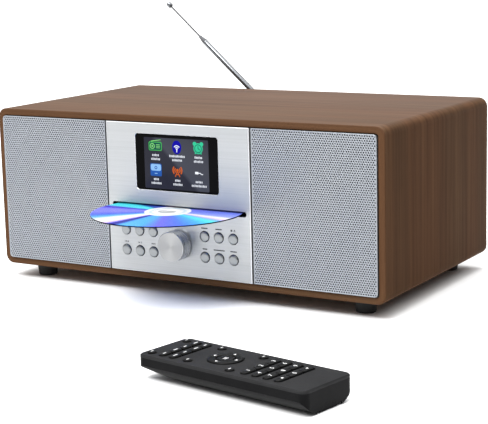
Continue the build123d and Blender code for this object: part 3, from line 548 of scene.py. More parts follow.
def prism(outline, low, high):
    return loft([[(x, y, low) for x, y in outline], [(x, y, high) for x, y in outline]])


def band(outer_r, inner_r, low, high, start=0.0, end=360.0, steps=32):
    """A flat ring, or the stretch of one between two angles in degrees."""
    whole = end - start >= 360
    angles = [math.radians(start + (end - start) * i / steps) for i in range(steps + (not whole))]
    rings = []
    for angle in angles:
        c, s = math.cos(angle), math.sin(angle)
        corners = ((outer_r, low), (outer_r, high), (inner_r, high), (inner_r, low))
        rings.append([(r * c, r * s, z) for r, z in corners])
    return loft(rings, loop=whole)


def bar(x0, y0, x1, y1, width, low, high):
    """A flat bar between two points, with round ends."""
    length = math.hypot(x1 - x0, y1 - y0)
    turn = math.atan2(y1 - y0, x1 - x0)
    middle_x, middle_y = (x0 + x1) / 2, (y0 + y1) / 2
    c, s = math.cos(turn), math.sin(turn)
    flat = rounded(length / 2 + width / 2, width / 2, width / 2, 4)
    return prism([(middle_x + x * c - y * s, middle_y + x * s + y * c) for x, y in flat], low, high)


def disc_plate(radius, low, high, x=0.0, y=0.0, steps=40):
    turns = [2 * math.pi * i / steps for i in range(steps)]
    return prism([(x + radius * math.cos(t), y + radius * math.sin(t)) for t in turns], low, high)


class Shape:
    """Collects meshes in millimetres and becomes one piece."""

    def __init__(self):
        self.points, self.faces, self.slots = [], [], []

    def add(self, mesh, place=NO_MOVE, slot=0):
        points, faces = mesh
        start = len(self.points)
        self.points += [place @ Vector(p) for p in points]
        self.faces += [[start + i for i in face] for face in faces]
        self.slots += [slot] * len(faces)
        return self

    def piece(self, name, materials, body, slot, sharp=32.0, closed=True):
        mesh = bpy.data.meshes.new(name)
        mesh.from_pydata([p * MM for p in self.points], [], self.faces)
        for material in materials:
            mesh.materials.append(material)
        for polygon, index in zip(mesh.polygons, self.slots):
            polygon.material_index = index
            polygon.use_smooth = True
        if closed:
            work = bmesh.new()
            work.from_mesh(mesh)
            bmesh.ops.recalc_face_normals(work, faces=work.faces)
            work.to_mesh(mesh)
            work.free()
        mesh.update()
        mesh.set_sharp_from_angle(angle=math.radians(sharp))
        made = linked(name, mesh)
        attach(made, body)
        return made


def facing_front(x, y, z):
    """Local X to the right, local Y up and local Z out of the front, from a point in millimetres."""
    return Matrix(((1, 0, 0, x), (0, 0, -1, y), (0, 1, 0, z), (0, 0, 0, 1)))


def facing_back(x, y, z):
    return Matrix(((-1, 0, 0, x), (0, 0, 1, y), (0, 1, 0, z), (0, 0, 0, 1)))


# ---- cabinet ------------------------------------------------------------------------------


def cabinet_sleeve():
    """The veneered box, swept round the cabinet so that the grain wraps round its corners."""
    low, high = span("cabinet_sleeve")
    rebate = 6.0
    seat_front, seat_back = low.y + rebate, high.y - rebate
    half_w, half_h = (high.x - low.x) / 2, (high.z - low.z) / 2
    centre_z = (low.z + high.z) / 2
    corner, wall, rim, ease = 7.5, 12.0, 5.5, 1.0
    arc = [(ease * (1 - math.cos(a)), ease * (1 - math.sin(a))) for a in (0.0, 0.52, 1.05, 1.57)]
    outer_front = [(inset, low.y + depth, corner) for inset, depth in arc]
    outer_back = [(inset, high.y - depth, corner) for inset, depth in reversed(arc)]
    stations = outer_front + [
        (rim - 0.4, low.y, corner - 2),
        (rim, low.y + 0.4, corner - 2),
        (rim, seat_front, corner - 2),
        (wall, seat_front, corner - 2),
        (wall, seat_back, corner - 2),
        (rim, seat_back, corner - 2),
        (rim, high.y - 0.4, corner - 2),
        (rim - 0.4, high.y, corner - 2),
    ] + outer_back
    rings, steps = [], 14
    for inset, y, radius in stations:
        outline = rounded(half_w - inset, half_h - inset, max(2.0, radius - inset * 0.6), steps)
        rings.append([(x, y, z + centre_z) for x, z in outline])
    shape = Shape().add(loft(rings, loop=True))
    sleeve = shape.piece("cabinet_veneer", [SURFACES["walnut"]], "cabinet", "walnut")
    lay_veneer(sleeve.data, rings)
    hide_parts("cabinet_sleeve")


def lay_veneer(mesh, rings):
    """Gives the sleeve its grain coordinates: first along the sweep round the box, then along its depth."""
    count = len(rings[0])
    around = [0.0]
    for i in range(count):
        a, b = Vector(rings[0][i]), Vector(rings[0][(i + 1) % count])
        around.append(around[-1] + (b - a).length)
    across = [0.0]
    for one, two in zip(rings, rings[1:] + rings[:1]):
        across.append(across[-1] + (Vector(two[0]) - Vector(one[0])).length)
    layer = mesh.uv_layers.new(name="veneer")
    for polygon in mesh.polygons:
        corners = [mesh.loops[i].vertex_index for i in polygon.loop_indices]
        stations = [v // count for v in corners]
        places = [v % count for v in corners]
        wraps_station = max(stations) - min(stations) > 1
        wraps_place = max(places) - min(places) > 1
        for loop_index, station, place in zip(polygon.loop_indices, stations, places):
            u = around[count] if wraps_place and place == 0 else around[place]
            v = across[len(rings)] if wraps_station and station == 0 else across[station]
            layer.data[loop_index].uv = (u * MM, v * MM)


def foot_pads():
    """Rubber feet with a rolled lower edge, one for each CAD foot."""
    low, high = span("feet")
    top_r, tread_r = 9.5, 7.8
    profile = [(0, 0.6), (4.4, 0.6), (4.8, 0.0), (tread_r - 0.9, 0.0), (tread_r - 0.25, 0.3), (tread_r, 1.0)]
    profile += [(top_r - 0.5, high.z - 0.8), (top_r, high.z), (0, high.z)]
    shape = Shape()
    for x in (low.x + top_r, high.x - top_r):
        for y in (low.y + top_r, high.y - top_r):
            shape.add(turned(profile, 64), Matrix.Translation((x, y, 0)))
    pads = shape.piece("rubber_feet", [SURFACES["black_rubber"]], "cabinet", "black_rubber")
    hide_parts("feet")


# ---- grilles ------------------------------------------------------------------------------

HOLE_PITCH = 2.0
HOLE_R = 0.73
HOLE_ROLL = 0.12
HEM = 0.8
FASCIA_GAP = 0.7


def perforated_sheet(x0, x1, z0, z1):
    """A sheet with round holes in staggered rows. Every hole sits in a cell with eight border points."""
    columns = round((x1 - x0) / HOLE_PITCH)
    rows = round((z1 - z0) / (HOLE_PITCH * math.sqrt(3) / 2))
    step_x, step_z = (x1 - x0) / columns, (z1 - z0) / rows
    points, faces, lookup = [], [], {}

    def border(half_column, half_row):
        key = (half_column, half_row)
        if key not in lookup:
            lookup[key] = len(points)
            points.append((x0 + step_x * half_column / 2, z0 + step_z * half_row / 2, 0.0))
        return lookup[key]

    ring = ((1, 0), (1, 1), (0, 1), (-1, 1), (-1, 0), (-1, -1), (0, -1), (1, -1))
    turns = [math.atan2(dz * step_z, dx * step_x) for dx, dz in ring]
    for row in range(rows):
        centre_row = 2 * row + 1
        shifted = row % 2
        if shifted:
            for start, end in ((0, 1), (2 * columns - 1, 2 * columns)):
                for low, high in ((centre_row - 1, centre_row), (centre_row, centre_row + 1)):
                    corners = ((start, low), (end, low), (end, high), (start, high))
                    faces.append([border(c, r) for c, r in corners])
        for column in range(columns - shifted):
            centre_column = 2 * column + 1 + shifted
            cx, cz = x0 + step_x * centre_column / 2, z0 + step_z * centre_row / 2
            start = len(points)
            for radius, depth in ((HOLE_R, 0.0), (HOLE_R - HOLE_ROLL, -0.16)):
                points += [(cx + radius * math.cos(t), cz + radius * math.sin(t), depth) for t in turns]
            edge = [border(centre_column + dx, centre_row + dz) for dx, dz in ring]
            for i in range(8):
                j = (i + 1) % 8
                faces.append([edge[i], edge[j], start + j, start + i])
                faces.append([start + i, start + j, start + 8 + j, start + 8 + i])
    return points, faces


def grille(side):
    """A perforated metal grille: the sheet, and the rolled hem round it."""
    node = f"{side}_grille"
    low, high = span(node)
    if side == "left":
        high.x -= FASCIA_GAP
    else:
        low.x += FASCIA_GAP
    sheet_y = low.y + 0.35
    tuck = HEM * 0.7
    sheet = perforated_sheet(low.x + tuck, high.x - tuck, low.z + tuck, high.z - tuck)
    shape = Shape().add(sheet, facing_front(0, sheet_y, 0))
    outer_sign = -1 if side == "left" else 1
    shape.add(hem(low, high, outer_sign), facing_front(0, high.y, 0))
    mesh_metal = [SURFACES["silver_mesh"]]
    made = shape.piece(f"{side}_grille_sheet", mesh_metal, "cabinet", "silver_mesh", sharp=60, closed=False)
    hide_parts(node)


def hem(low, high, outer_sign):
    """The rolled edge: a small profile swept round the grille's outline."""
    depth = high.y - low.y
    profile = [(0.0, 0.02), (0.0, depth - 0.3), (0.1, depth - 0.08), (0.32, depth), (HEM - 0.45, depth)]
    profile += [(HEM - 0.15, depth - 0.12), (HEM, depth - 0.35), (HEM, 0.3), (HEM, 0.02)]
    rings = []
    for inset, height in profile:
        outline = one_sided_corners(low, high, inset, 2.9, 0.35, outer_sign)
        rings.append([(x, z, height) for x, z in outline])
    return loft(rings, loop=True)


def one_sided_corners(low, high, inset, outer_r, inner_r, outer_sign):
    """A rectangle whose two corners on one side are rounder than the other two."""
    points, steps = [], 6
    for quarter, (sx, sz) in enumerate(((1, -1), (1, 1), (-1, 1), (-1, -1))):
        radius = max(0.05, (outer_r if sx == outer_sign else inner_r) - inset)
        corner_x = (high.x if sx > 0 else low.x) - sx * (inset + radius)
        corner_z = (high.z if sz > 0 else low.z) - sz * (inset + radius)
        for step in range(steps + 1):
            turn = math.pi / 2 * (quarter - 1 + step / steps)
            points.append((corner_x + radius * math.cos(turn), corner_z + radius * math.sin(turn)))
    return points


# ---- display ------------------------------------------------------------------------------

INK = 0.04


def screen():
    """The lit area, bonded behind the window's face, with six icons and their captions."""
    window_y = span("display_window")[0].y
    centre = middle("display_window")
    half_w, half_h = 29.8, 20.2
    x, z = centre.x, centre.z - 0.5
    panel = stacked(half_w, half_h, 0.8, [(0.0, -0.2), (0.0, 0.02), (0.02, 0.03)])
    Shape().add(panel, facing_front(x, window_y, z)).piece("screen_panel", [SCREEN], "cabinet", "lcd")
    colours = {
        "green": lit_ink("ink_green", tone(64, 168, 84)),
        "lime": lit_ink("ink_lime", tone(128, 214, 120)),
        "blue": lit_ink("ink_blue", tone(8, 2, 168), 0.75),
        "white": lit_ink("ink_white", tone(236, 240, 248), 1.0),
        "teal": lit_ink("ink_teal", tone(52, 196, 148)),
        "dark": lit_ink("ink_dark", tone(20, 84, 74), 0.8),
        "sky": lit_ink("ink_sky", tone(140, 188, 236)),
        "navy": lit_ink("ink_navy", tone(34, 88, 172)),
        "orange": lit_ink("ink_orange", tone(204, 92, 28)),
    }
    order = list(colours)
    icons = Shape()

    def pen(column, row):
        """A function that draws a mesh in one ink, placed from a point on the screen."""

        def draw(mesh, ink, along=0.0, up=0.0):
            place = facing_front(x + column + along, window_y - 0.03, z + row + up)
            icons.add(mesh, place, order.index(ink))

        return draw

    columns = (-19.2, 0.9, 20.6)
    upper = (draw_radio, (6.6, 8.6)), (draw_stream, (14.6, 9.4)), (draw_clock, (7.2, 8.8))
    lower = (draw_player, (5.0, 9.8)), (draw_mast, (5.2, 8.8)), (draw_plug, (6.6, 14.0))
    captions = []
    for row, icon_row in ((13.4, upper), (-5.7, lower)):
        for column, (icon, widths) in zip(columns, icon_row):
            icon(pen(column, row))
            captions += [(pen(column, row - 7.0 - 3.1 * line), width) for line, width in enumerate(widths)]
    for draw, width in captions:
        draw_caption(draw, width)
    icons.piece("screen_icons", [colours[ink] for ink in order], "cabinet", "lcd")


def draw_caption(draw, width):
    """A caption's place, held by a row of plain upright strokes in place of words."""
    count = max(3, round(width / 1.25))
    pitch = width / count
    for i in range(count):
        x = -width / 2 + pitch * (i + 0.5)
        reach = 0.62 if (i * 5 + count) % 3 else 0.85
        draw(bar(x, -0.6, x, reach - 0.3, 0.78, 0, INK), "white")


def draw_radio(draw):
    draw(stacked(6.2, 3.6, 1.4, [(0, 0), (0, INK)]), "green")
    draw(stacked(5.4, 2.8, 0.9, [(0, INK), (0, 2 * INK)]), "dark")
    draw(band(2.3, 1.6, 2 * INK, 3 * INK), "lime", -2.7)
    draw(disc_plate(0.8, 2 * INK, 3 * INK), "lime", -2.7)
    for line in (1.2, 0.0, -1.2):
        draw(bar(1.0, line, 4.2, line, 0.55, 2 * INK, 3 * INK), "lime")
    draw(bar(-3.6, 3.9, 5.0, 5.2, 0.6, 0, INK), "lime")


def draw_stream(draw):
    oval = [(4.2 * math.cos(t), 5.4 * math.sin(t)) for t in [2 * math.pi * i / 40 for i in range(40)]]
    draw(prism(oval, 0, INK), "blue")
    for reach in (1.5, 2.9):
        draw(band(reach + 0.35, reach - 0.35, INK, 2 * INK, 35, 145, 16), "white", up=-1.6)
    draw(disc_plate(0.7, INK, 2 * INK), "white", up=-1.6)
    draw(bar(0, -2.2, 0, -3.6, 0.7, INK, 2 * INK), "white")


def draw_clock(draw):
    for side in (-1, 1):
        draw(disc_plate(1.7, 0, INK, side * 3.1, 3.6), "teal")
        draw(bar(side * 2.2, -3.2, side * 2.7, -3.9, 1.0, 0, INK), "teal")
    draw(disc_plate(4.2, INK, 2 * INK), "teal")
    draw(band(3.3, 2.8, 2 * INK, 3 * INK), "dark")
    draw(bar(0, 0, 0, 2.0, 0.5, 2 * INK, 3 * INK), "dark")
    draw(bar(0, 0, 1.4, -0.8, 0.5, 2 * INK, 3 * INK), "dark")


def draw_player(draw):
    draw(stacked(5.3, 5.0, 1.0, [(0, 0), (0, INK)]), "navy", up=0.4)
    draw(stacked(4.8, 2.7, 1.6, [(0, INK), (0, 2 * INK)]), "sky", up=2.3)
    draw(band(1.3, 0.7, 2 * INK, 3 * INK), "navy", up=2.1)
    draw(bar(-1.1, -2.5, 1.1, -2.5, 0.6, INK, 2 * INK), "sky")


def draw_mast(draw):
    for side in (0, 180):
        for reach in (2.4, 4.1):
            wave = band(reach + 0.5, reach - 0.5, 0, INK, side - 42, side + 42, 14)
            draw(wave, "orange", up=1.0)
    draw(disc_plate(1.2, 0, INK), "orange", up=1.0)
    for side in (-1, 1):
        draw(bar(0, 0.4, side * 2.0, -3.8, 0.8, 0, INK), "orange")
    draw(bar(-1.2, -2.3, 1.2, -2.3, 0.7, 0, INK), "orange")


def draw_plug(draw):
    draw(stacked(1.5, 0.95, 0.3, [(0, 0), (0, INK)]), "white", -1.9)
    draw(bar(-0.4, 0, 1.3, 0, 0.6, 0, INK), "white")
    draw(bar(1.3, 0, 2.4, -0.9, 0.6, 0, INK), "white")
    draw(bar(2.4, -0.9, 3.6, -0.9, 0.6, 0, INK), "white")


# ---- controls -----------------------------------------------------------------------------


def knob():
    """The turning knob: a spun face with an eased edge, a polished side and a hollow back."""
    low, high = span("volume_knob")
    centre = middle("volume_knob")
    radius, depth = (high.x - low.x) / 2, high.y - low.y
    shaft_r, boss_r, shell_r = 3.0, 5.0, radius - 1.8
    face = [(0, depth - 0.12), (4.0, depth - 0.1), (radius - 1.0, depth - 0.02), (radius - 0.35, depth)]
    side = [(radius - 0.2, depth - 0.04), (radius - 0.08, depth - 0.14), (radius - 0.02, depth - 0.3)]
    side += [(radius, depth - 0.6), (radius, 0.6), (radius - 0.15, 0.2), (radius - 0.5, 0.0)]
    hollow = [(shell_r, 0.0), (shell_r, depth - 3.6), (boss_r, depth - 3.6), (boss_r, 0.3)]
    hollow += [(shaft_r, 0.3), (shaft_r, depth - 3.2), (0, depth - 3.2)]
    place = facing_front(centre.x, high.y, centre.z)
    steps = 160
    shape = Shape().add(turned(face + side + hollow, steps), place, 1)
    shape.slots[: steps * (len(face) - 1)] = [0] * (steps * (len(face) - 1))
    metals = [SURFACES["spun_silver"], KNOB_SIDE]
    welded = shape.piece("volume_knob_spun", metals, "volume_knob", "spun_silver", sharp=40)
    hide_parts("volume_knob")


def button_caps():
    """Push buttons with a gently domed cap and an eased edge, one piece a button. The eased edge and the side are
    dark grey, as painted shade.
    """
    for node in sorted(frame["nodes"]):
        if not node.endswith("_button"):
            continue
        low, high = span(node)
        centre = middle(node)
        radius, flange_r, stem_r = 4.15, (high.x - low.x) / 2, 1.4
        cap_depth, flange_depth = 9.7, 10.9
        depth = high.y - low.y
        profile = [(0, 0.0), (1.6, 0.02), (3.0, 0.1), (3.55, 0.22), (3.85, 0.4), (4.05, 0.66), (radius, 1.0)]
        profile += [(radius, cap_depth), (flange_r, cap_depth), (flange_r, flange_depth)]
        profile += [(stem_r, flange_depth), (stem_r, depth - 0.2), (stem_r - 0.2, depth), (0, depth)]
        profile = [(r, -h) for r, h in profile]
        steps, face_bands = 64, 5
        shape = Shape().add(turned(profile, steps), facing_front(centre.x, low.y, centre.z), 1)
        # The face bands keep the silver; the eased edge and the side take the dark grey of painted shade.
        shape.slots[: steps * face_bands] = [0] * (steps * face_bands)
        cap = shape.piece(f"{node}_cap", [SURFACES["silver_plastic"], BUTTON_PAINTED_SHADE], node, "silver_plastic")
        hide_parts(node)


def legends():
    """Small printed marks over the buttons. They are plain symbols, with no words."""
    y = span("fascia_panel")[0].y
    rise = 6.6
    shape = Shape()

    def mark(mesh, node):
        centre = middle(node)
        shape.add(mesh, facing_front(centre.x, y, centre.z + rise) @ Matrix.Scale(1.3, 4))

    def wedge(x, size):
        return prism([(x - size, -abs(size)), (x + size, 0), (x - size, abs(size))], 0, INK)

    mark(band(1.0, 0.75, 0, INK, 120, 420, 20), "power_button")
    mark(bar(0, 0.5, 0, 1.2, 0.25, 0, INK), "power_button")
    mark(bar(-1.4, 0, 1.0, 0, 0.3, 0, INK), "source_button")
    mark(wedge(1.2, 0.5), "source_button")
    for x in (-1.2, 0, 1.2):
        mark(disc_plate(0.35, 0, INK, x, 0, 16), "preset_button")
    for x in (-0.4, 0.9):
        mark(wedge(x, -0.55), "previous_button")
        mark(wedge(-x, 0.55), "next_button")
    mark(bar(-1.2, -0.5, -1.2, 0.5, 0.2, 0, INK), "previous_button")
    mark(bar(1.2, -0.5, 1.2, 0.5, 0.2, 0, INK), "next_button")
    mark(wedge(-0.6, 0.6), "play_pause_button")
    for x in (0.6, 1.2):
        mark(bar(x, -0.5, x, 0.5, 0.22, 0, INK), "play_pause_button")
    mark(prism([(-1.7, -0.6), (-0.5, -0.6), (-0.5, 0.6), (-1.7, 0.6)], 0, INK), "eject_button")
    mark(prism([(0.3, -0.15), (1.7, -0.15), (1.0, 0.8)], 0, INK), "eject_button")
    mark(bar(0.35, -0.5, 1.65, -0.5, 0.2, 0, INK), "eject_button")
    dashes, pitch = {"alarm": 4, "sleep": 4, "info": 3, "menu": 7, "mode": 4}, 1.1
    for name, count in dashes.items():
        for i in range(count):
            x = (i - (count - 1) / 2) * pitch
            mark(bar(x - 0.25, 0, x + 0.25, 0, 0.75, 0, INK), f"{name}_button")
    shape.piece("panel_legends", [PANEL_PRINT], "cabinet", "black_plastic")


def bright_edges():
    """The fascia's bevels, cut after brushing: round its outline and round the window. They are polished metal in
    a lighter tone than the fascia, and the lighter tone is a painted highlight along the edges.
    """
    low, high = span("fascia_panel")
    window = span("display_window")
    width, rise = 0.42, 0.03
    for name, (corner, far), gap, radius, grows in (
        ("fascia_bevel", (low, high), 0.0, 0.05, -1),
        ("window_bevel", window, 0.2, 2.4, 1),
    ):
        half_w, half_h = (far.x - corner.x) / 2 + gap, (far.z - corner.z) / 2 + gap
        centre_x, centre_z = (far.x + corner.x) / 2, (far.z + corner.z) / 2
        flat, edge = 0.3 * grows, width * grows
        profile = ((0.0, -0.5), (0.0, -0.3), (flat, rise), (edge, rise), (edge, -0.1), (flat, -0.5))
        rings = []
        for inset, height in profile:
            outline = rounded(half_w + inset, half_h + inset, max(0.05, radius + inset), 6)
            rings.append([(x, z, height) for x, z in outline])
        shape = Shape().add(loft(rings, loop=True), facing_front(centre_x, low.y, centre_z))
        shape.piece(name, [BEVEL_HIGHLIGHT_METAL], "cabinet", "brushed_silver")


# ---- disc ---------------------------------------------------------------------------------


def disc():
    """The disc: an eased rim, a mirror band, a raised stacking ring and the hub's hole."""
    low, high = span("disc")
    centre = middle("disc")
    radius, half = (high.x - low.x) / 2, (high.z - low.z) / 2
    hole_r = 7.5
    top = [(hole_r, half - 0.1), (hole_r + 0.1, half - 0.02), (10.8, half - 0.02), (11.0, half - 0.1)]
    top += [(16.4, half - 0.1), (16.7, half), (17.6, half), (17.9, half - 0.04), (22.2, half - 0.04)]
    top += [(22.4, half - 0.02), (radius - 1.6, half - 0.02), (radius - 0.35, half - 0.03)]
    top += [(radius - 0.08, half - 0.15), (radius, half - 0.4)]
    bottom = [(r, -h) for r, h in reversed(top)]
    steps, wall = 180, len(top) - 2
    shape = Shape().add(turned(top + bottom, steps, loop=True), Matrix.Translation(centre))
    shape.slots[steps * wall : steps * (wall + 3)] = [1] * (steps * 3)
    made = shape.piece("disc_pressed", [SURFACES["disc_mirror"], DISC_EDGE], "disc", "disc_mirror", sharp=50)
    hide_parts("disc")


# ---- antenna ------------------------------------------------------------------------------


def antenna():
    """The telescopic sections, each a smooth drawn tube with a crimped end."""
    joints = {joint["name"]: joint for joint in frame["joints"]}
    mast = Vector(joints["antenna_rod_pull"]["axis"]).normalized()
    pivot = Vector(joints["antenna_fold"]["pos_m"]) / MM
    tilt = Vector(joints["antenna_fold"]["axis"]).normalized()
    side = mast.cross(tilt)
    place = Matrix.Translation(pivot) @ Matrix((tilt, side, mast)).transposed().to_4x4()
    tube_r, bore_r, tube_end, collar_end = 2.5, 2.1, 103.8, 111.5
    outer = [(0, 7.2), (1.9, 7.2), (2.3, 7.6), (tube_r, 8.6), (tube_r, tube_end - 2.4)]
    outer += [(2.42, tube_end - 2.0), (tube_r, tube_end - 1.6), (tube_r, tube_end - 0.2)]
    outer += [(2.4, tube_end), (bore_r, tube_end), (bore_r, 11), (0, 11)]
    shape = Shape().add(turned(outer, 72), place)
    lug = stacked(4.0, 4.0, 3.98, [(0.25, -1.5), (0, -1.25), (0, 1.25), (0.25, 1.5)], 12)
    across = place @ Matrix.Rotation(math.pi / 2, 4, "Y")
    shape.add(lug, across)
    shape.add(stacked(1.5, 2.0, 0.4, [(0, 2.6), (0, 8.0)]), place)
    tube = shape.piece("antenna_tube_drawn", [TUBE_CHROME], "antenna_outer_tube", "polished_chrome")
    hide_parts("antenna_outer_tube")
    inner = [(0.75, 12), (2.05, 12), (2.05, tube_end + 0.25), (2.35, tube_end + 0.3), (2.5, tube_end + 0.5)]
    inner += [(2.46, tube_end + 0.9), (1.2, collar_end - 0.5), (1.05, collar_end), (0.75, collar_end)]
    shape = Shape().add(turned(inner, 72, loop=True), place)
    collar = shape.piece("antenna_collar_turned", [COLLAR_CHROME], "antenna_middle_tube", "polished_chrome")
    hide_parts("antenna_middle_tube")
    rod = [(0, 60), (0.5, 60.1), (0.7, 60.4), (0.7, 151.6), (1.5, 152.0), (2.05, 152.2), (2.3, 152.6)]
    rod += [(2.3, 155.8), (2.1, 156.3), (1.6, 156.5), (0, 156.5)]
    steps, first_tip_band, last_tip_band = 48, 6, 7
    shape = Shape().add(turned(rod, steps), place)
    shape.slots[steps * first_tip_band : steps * (last_tip_band + 1)] = [1] * (steps * 2)
    wire = shape.piece("antenna_rod_drawn", [ROD_CHROME, TUBE_CHROME], "antenna_rod", "polished_chrome")
    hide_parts("antenna_rod")


# ---- handset ------------------------------------------------------------------------------

KEY_BASE = 14.9
KEY_RISE = 3.2
ROUND_KEYS_X = (-62.6, -31.3, 4.1)
ROUND_KEY_Y = 16.4
ROUND_KEY_R = 3.0
FUNCTION_X = (-52.7, -43.8)
FUNCTION_STEP = 9.7
NUMBER_X = (15.8, 24.7, 33.6, 42.5)
NUMBER_STEP = 12.3
RING_X = -13.6
RING_R = 11.8
PAD_R = 6.0


def handset_place():
    """The handset's own frame, length along local X, from its battery door's sliding axis."""
    door = next(joint for joint in frame["joints"] if joint["name"] == "battery_door_slide")
    along = Vector(door["axis"]).normalized()
    up = Vector((0, 0, 1))
    across = up.cross(along)
    centre = middle("handset_upper_case")
    place = Matrix.Translation((centre.x, centre.y, 0))
    return place @ Matrix((along, across, up)).transposed().to_4x4()


def handset_keys():
    """The key mat, with single keys that are crowned and stand a hair apart."""
    place = handset_place()
    shape = Shape()
    web = stacked(57.0, 21.2, 1.5, [(0, KEY_BASE - 0.8), (0, KEY_BASE)])
    shape.add(web, place @ Matrix.Translation((-9.0, 0, 0)))
    top = KEY_BASE + KEY_RISE
    crown = [(0, KEY_BASE - 0.2), (0, top - 0.9), (0.15, top - 0.5), (0.45, top - 0.2)]
    crown += [(1.0, top - 0.05), (1.8, top)]

    def key(x, y, half_l, half_w):
        cap = stacked(half_l, half_w, min(half_l, half_w), crown, 8)
        shape.add(cap, place @ Matrix.Translation((x, y, 0)))

    for x in ROUND_KEYS_X:
        for y in (-ROUND_KEY_Y, ROUND_KEY_Y):
            key(x, y, ROUND_KEY_R, ROUND_KEY_R)
    for x in FUNCTION_X:
        for i in range(4):
            key(x, (i - 1.5) * FUNCTION_STEP, 2.7, 4.65)
    for x in NUMBER_X:
        for i in range(3):
            key(x, (i - 1) * NUMBER_STEP, 2.7, 6.0)
    inner, outer = PAD_R + 0.5, RING_R
    ring = [(inner, KEY_BASE), (inner, top - 0.7), (inner + 0.25, top - 0.35), (inner + 0.8, top - 0.1)]
    ring += [(inner + 1.6, top), (outer - 1.8, top), (outer - 0.8, top - 0.12), (outer - 0.25, top - 0.4)]
    ring += [(outer, top - 0.9), (outer, KEY_BASE)]
    centre = place @ Matrix.Translation((RING_X, 0, 0))
    shape.add(turned(ring, 96, loop=True), centre)
    pad = [(0, top - 0.35), (2.6, top - 0.3), (4.6, top - 0.12), (5.4, top - 0.2), (PAD_R - 0.2, top - 0.5)]
    pad += [(PAD_R - 0.2, KEY_BASE), (0, KEY_BASE)]
    shape.add(turned(pad, 72), centre)
    mat = shape.piece("handset_keys", [KEY_RUBBER], "handset_keypad", "black_rubber", sharp=50)
    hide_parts("handset_keypad")


def digit_mesh(text, size):
    """A numeral's flat mesh, in millimetres, centred on its own middle."""
    curve = bpy.data.curves.new(f"digit_{text}", "FONT")
    curve.body = text
    curve.size = size
    curve.align_x = "CENTER"
    curve.align_y = "CENTER"
    curve.extrude = INK / 2
    holder = bpy.data.objects.new(f"digit_{text}", curve)
    mesh = bpy.data.meshes.new_from_object(holder)
    points = [tuple(v.co) for v in mesh.vertices]
    faces = [list(p.vertices) for p in mesh.polygons]
    bpy.data.objects.remove(holder)
    bpy.data.curves.remove(curve)
    bpy.data.meshes.remove(mesh)
    return points, faces


def handset_legends():
    """White prints on the keys: numerals, and plain symbols in place of words."""
    place = handset_place()
    top = KEY_BASE + KEY_RISE
    shape = Shape()
    upright = Matrix.Rotation(math.pi / 2, 4, "Z")

    def mark(mesh, x, y, lift=0.0, turn=0.0):
        spot = Matrix.Translation((x, y, top + lift)) @ upright @ Matrix.Rotation(math.radians(turn), 4, "Z")
        shape.add(mesh, place @ spot)

    for row, x in enumerate(NUMBER_X[:3]):
        for column in range(3):
            mark(digit_mesh(str(3 * row + column + 1), 4.4), x, (column - 1) * NUMBER_STEP, 0.01)
    mark(digit_mesh("0", 4.4), NUMBER_X[3], 0, 0.01)
    for y in (-NUMBER_STEP, NUMBER_STEP):
        mark(prism([(-1.1, -0.8), (1.1, -0.8), (0, 1.1)], 0, INK), NUMBER_X[3], y, 0, 0 if y < 0 else 180)
    for x in FUNCTION_X:
        for i in range(4):
            y = (i - 1.5) * FUNCTION_STEP
            for step in range(2 + (i + (x > -50)) % 2):
                mark(bar(step * 1.3 - 1.5, 0, step * 1.3 - 0.9, 0, 0.8, 0, INK), x, y)
    for x in ROUND_KEYS_X:
        for y in (-ROUND_KEY_Y, ROUND_KEY_Y):
            mark(bar(-0.9, 0, 0.9, 0, 0.7, 0, INK), x, y)
    for turn in range(4):
        angle = math.radians(90 * turn)
        x, y = RING_X + 9.2 * math.cos(angle), 9.2 * math.sin(angle)
        mark(prism([(-1.2, -0.7), (1.2, -0.7), (0, 0.9)], 0, INK), x, y, 0.0, 90 * turn - 180)
    for step in (-1, 1):
        mark(bar(-1.6, 0.8 * step, 1.6, 0.8 * step, 0.6, 0, INK), RING_X, 0, -0.33)
    shape.piece("handset_legends", [KEY_PRINT], "handset_keypad", "white_plastic")


def handset_window():
    """The dark window that the handset sends through, on its thin end."""
    place = handset_place()
    end = place @ Matrix.Translation((-69.0, 0, 13.4)) @ Matrix.Rotation(-math.pi / 2, 4, "Y")
    shape = Shape().add(stacked(1.5, 10.0, 1.2, [(0, -0.4), (0, 0.1), (0.2, 0.2)]), end)
    shape.piece("handset_window", [SURFACES["black_gloss"]], "handset", "black_gloss")


# ---- rear ---------------------------------------------------------------------------------


def socket_rings():
    """Coloured collars round the two audio sockets."""
    y = span("rear_sockets")[1].y
    mounts = {mount["name"]: mount for mount in frame["record"]["mounts"]}
    profile = [(1.95, 0.02), (1.95, 0.45), (2.15, 0.6), (3.3, 0.6), (3.6, 0.4), (3.6, 0.02)]
    for name, colour in (("line_in_socket", tone(40, 92, 190)), ("headphone_socket", tone(46, 160, 84))):
        place = mounts[name]["pos_m"]
        ring = Shape().add(turned(profile, 64, loop=True), facing_back(place[0] / MM, y, place[2] / MM))
        material = textured_plastic(f"{name}_ring", colour, 0.35)
        ring.piece(f"{name}_ring", [material], "cabinet", "black_plastic")


# ---- the object's own nodes ---------------------------------------------------------------


def finish_nodes():
    """Gives each CAD node that stays visible its material."""
    own = {
        "handset_upper_case": HANDSET_TOP,
        "handset_lower_case": HANDSET_SIDE,
        "handset_battery_door": HANDSET_SIDE,
        "display_module": SURFACES["lcd"],
    }
    for part in frame["record"]["subparts"]:
        node = frame["nodes"][part["node"]]
        material = own.get(part["node"], SURFACES[part["material_slot"]])
        for slot in node.material_slots:
            slot.material = material


# ---- camera, floor and light --------------------------------------------------------------


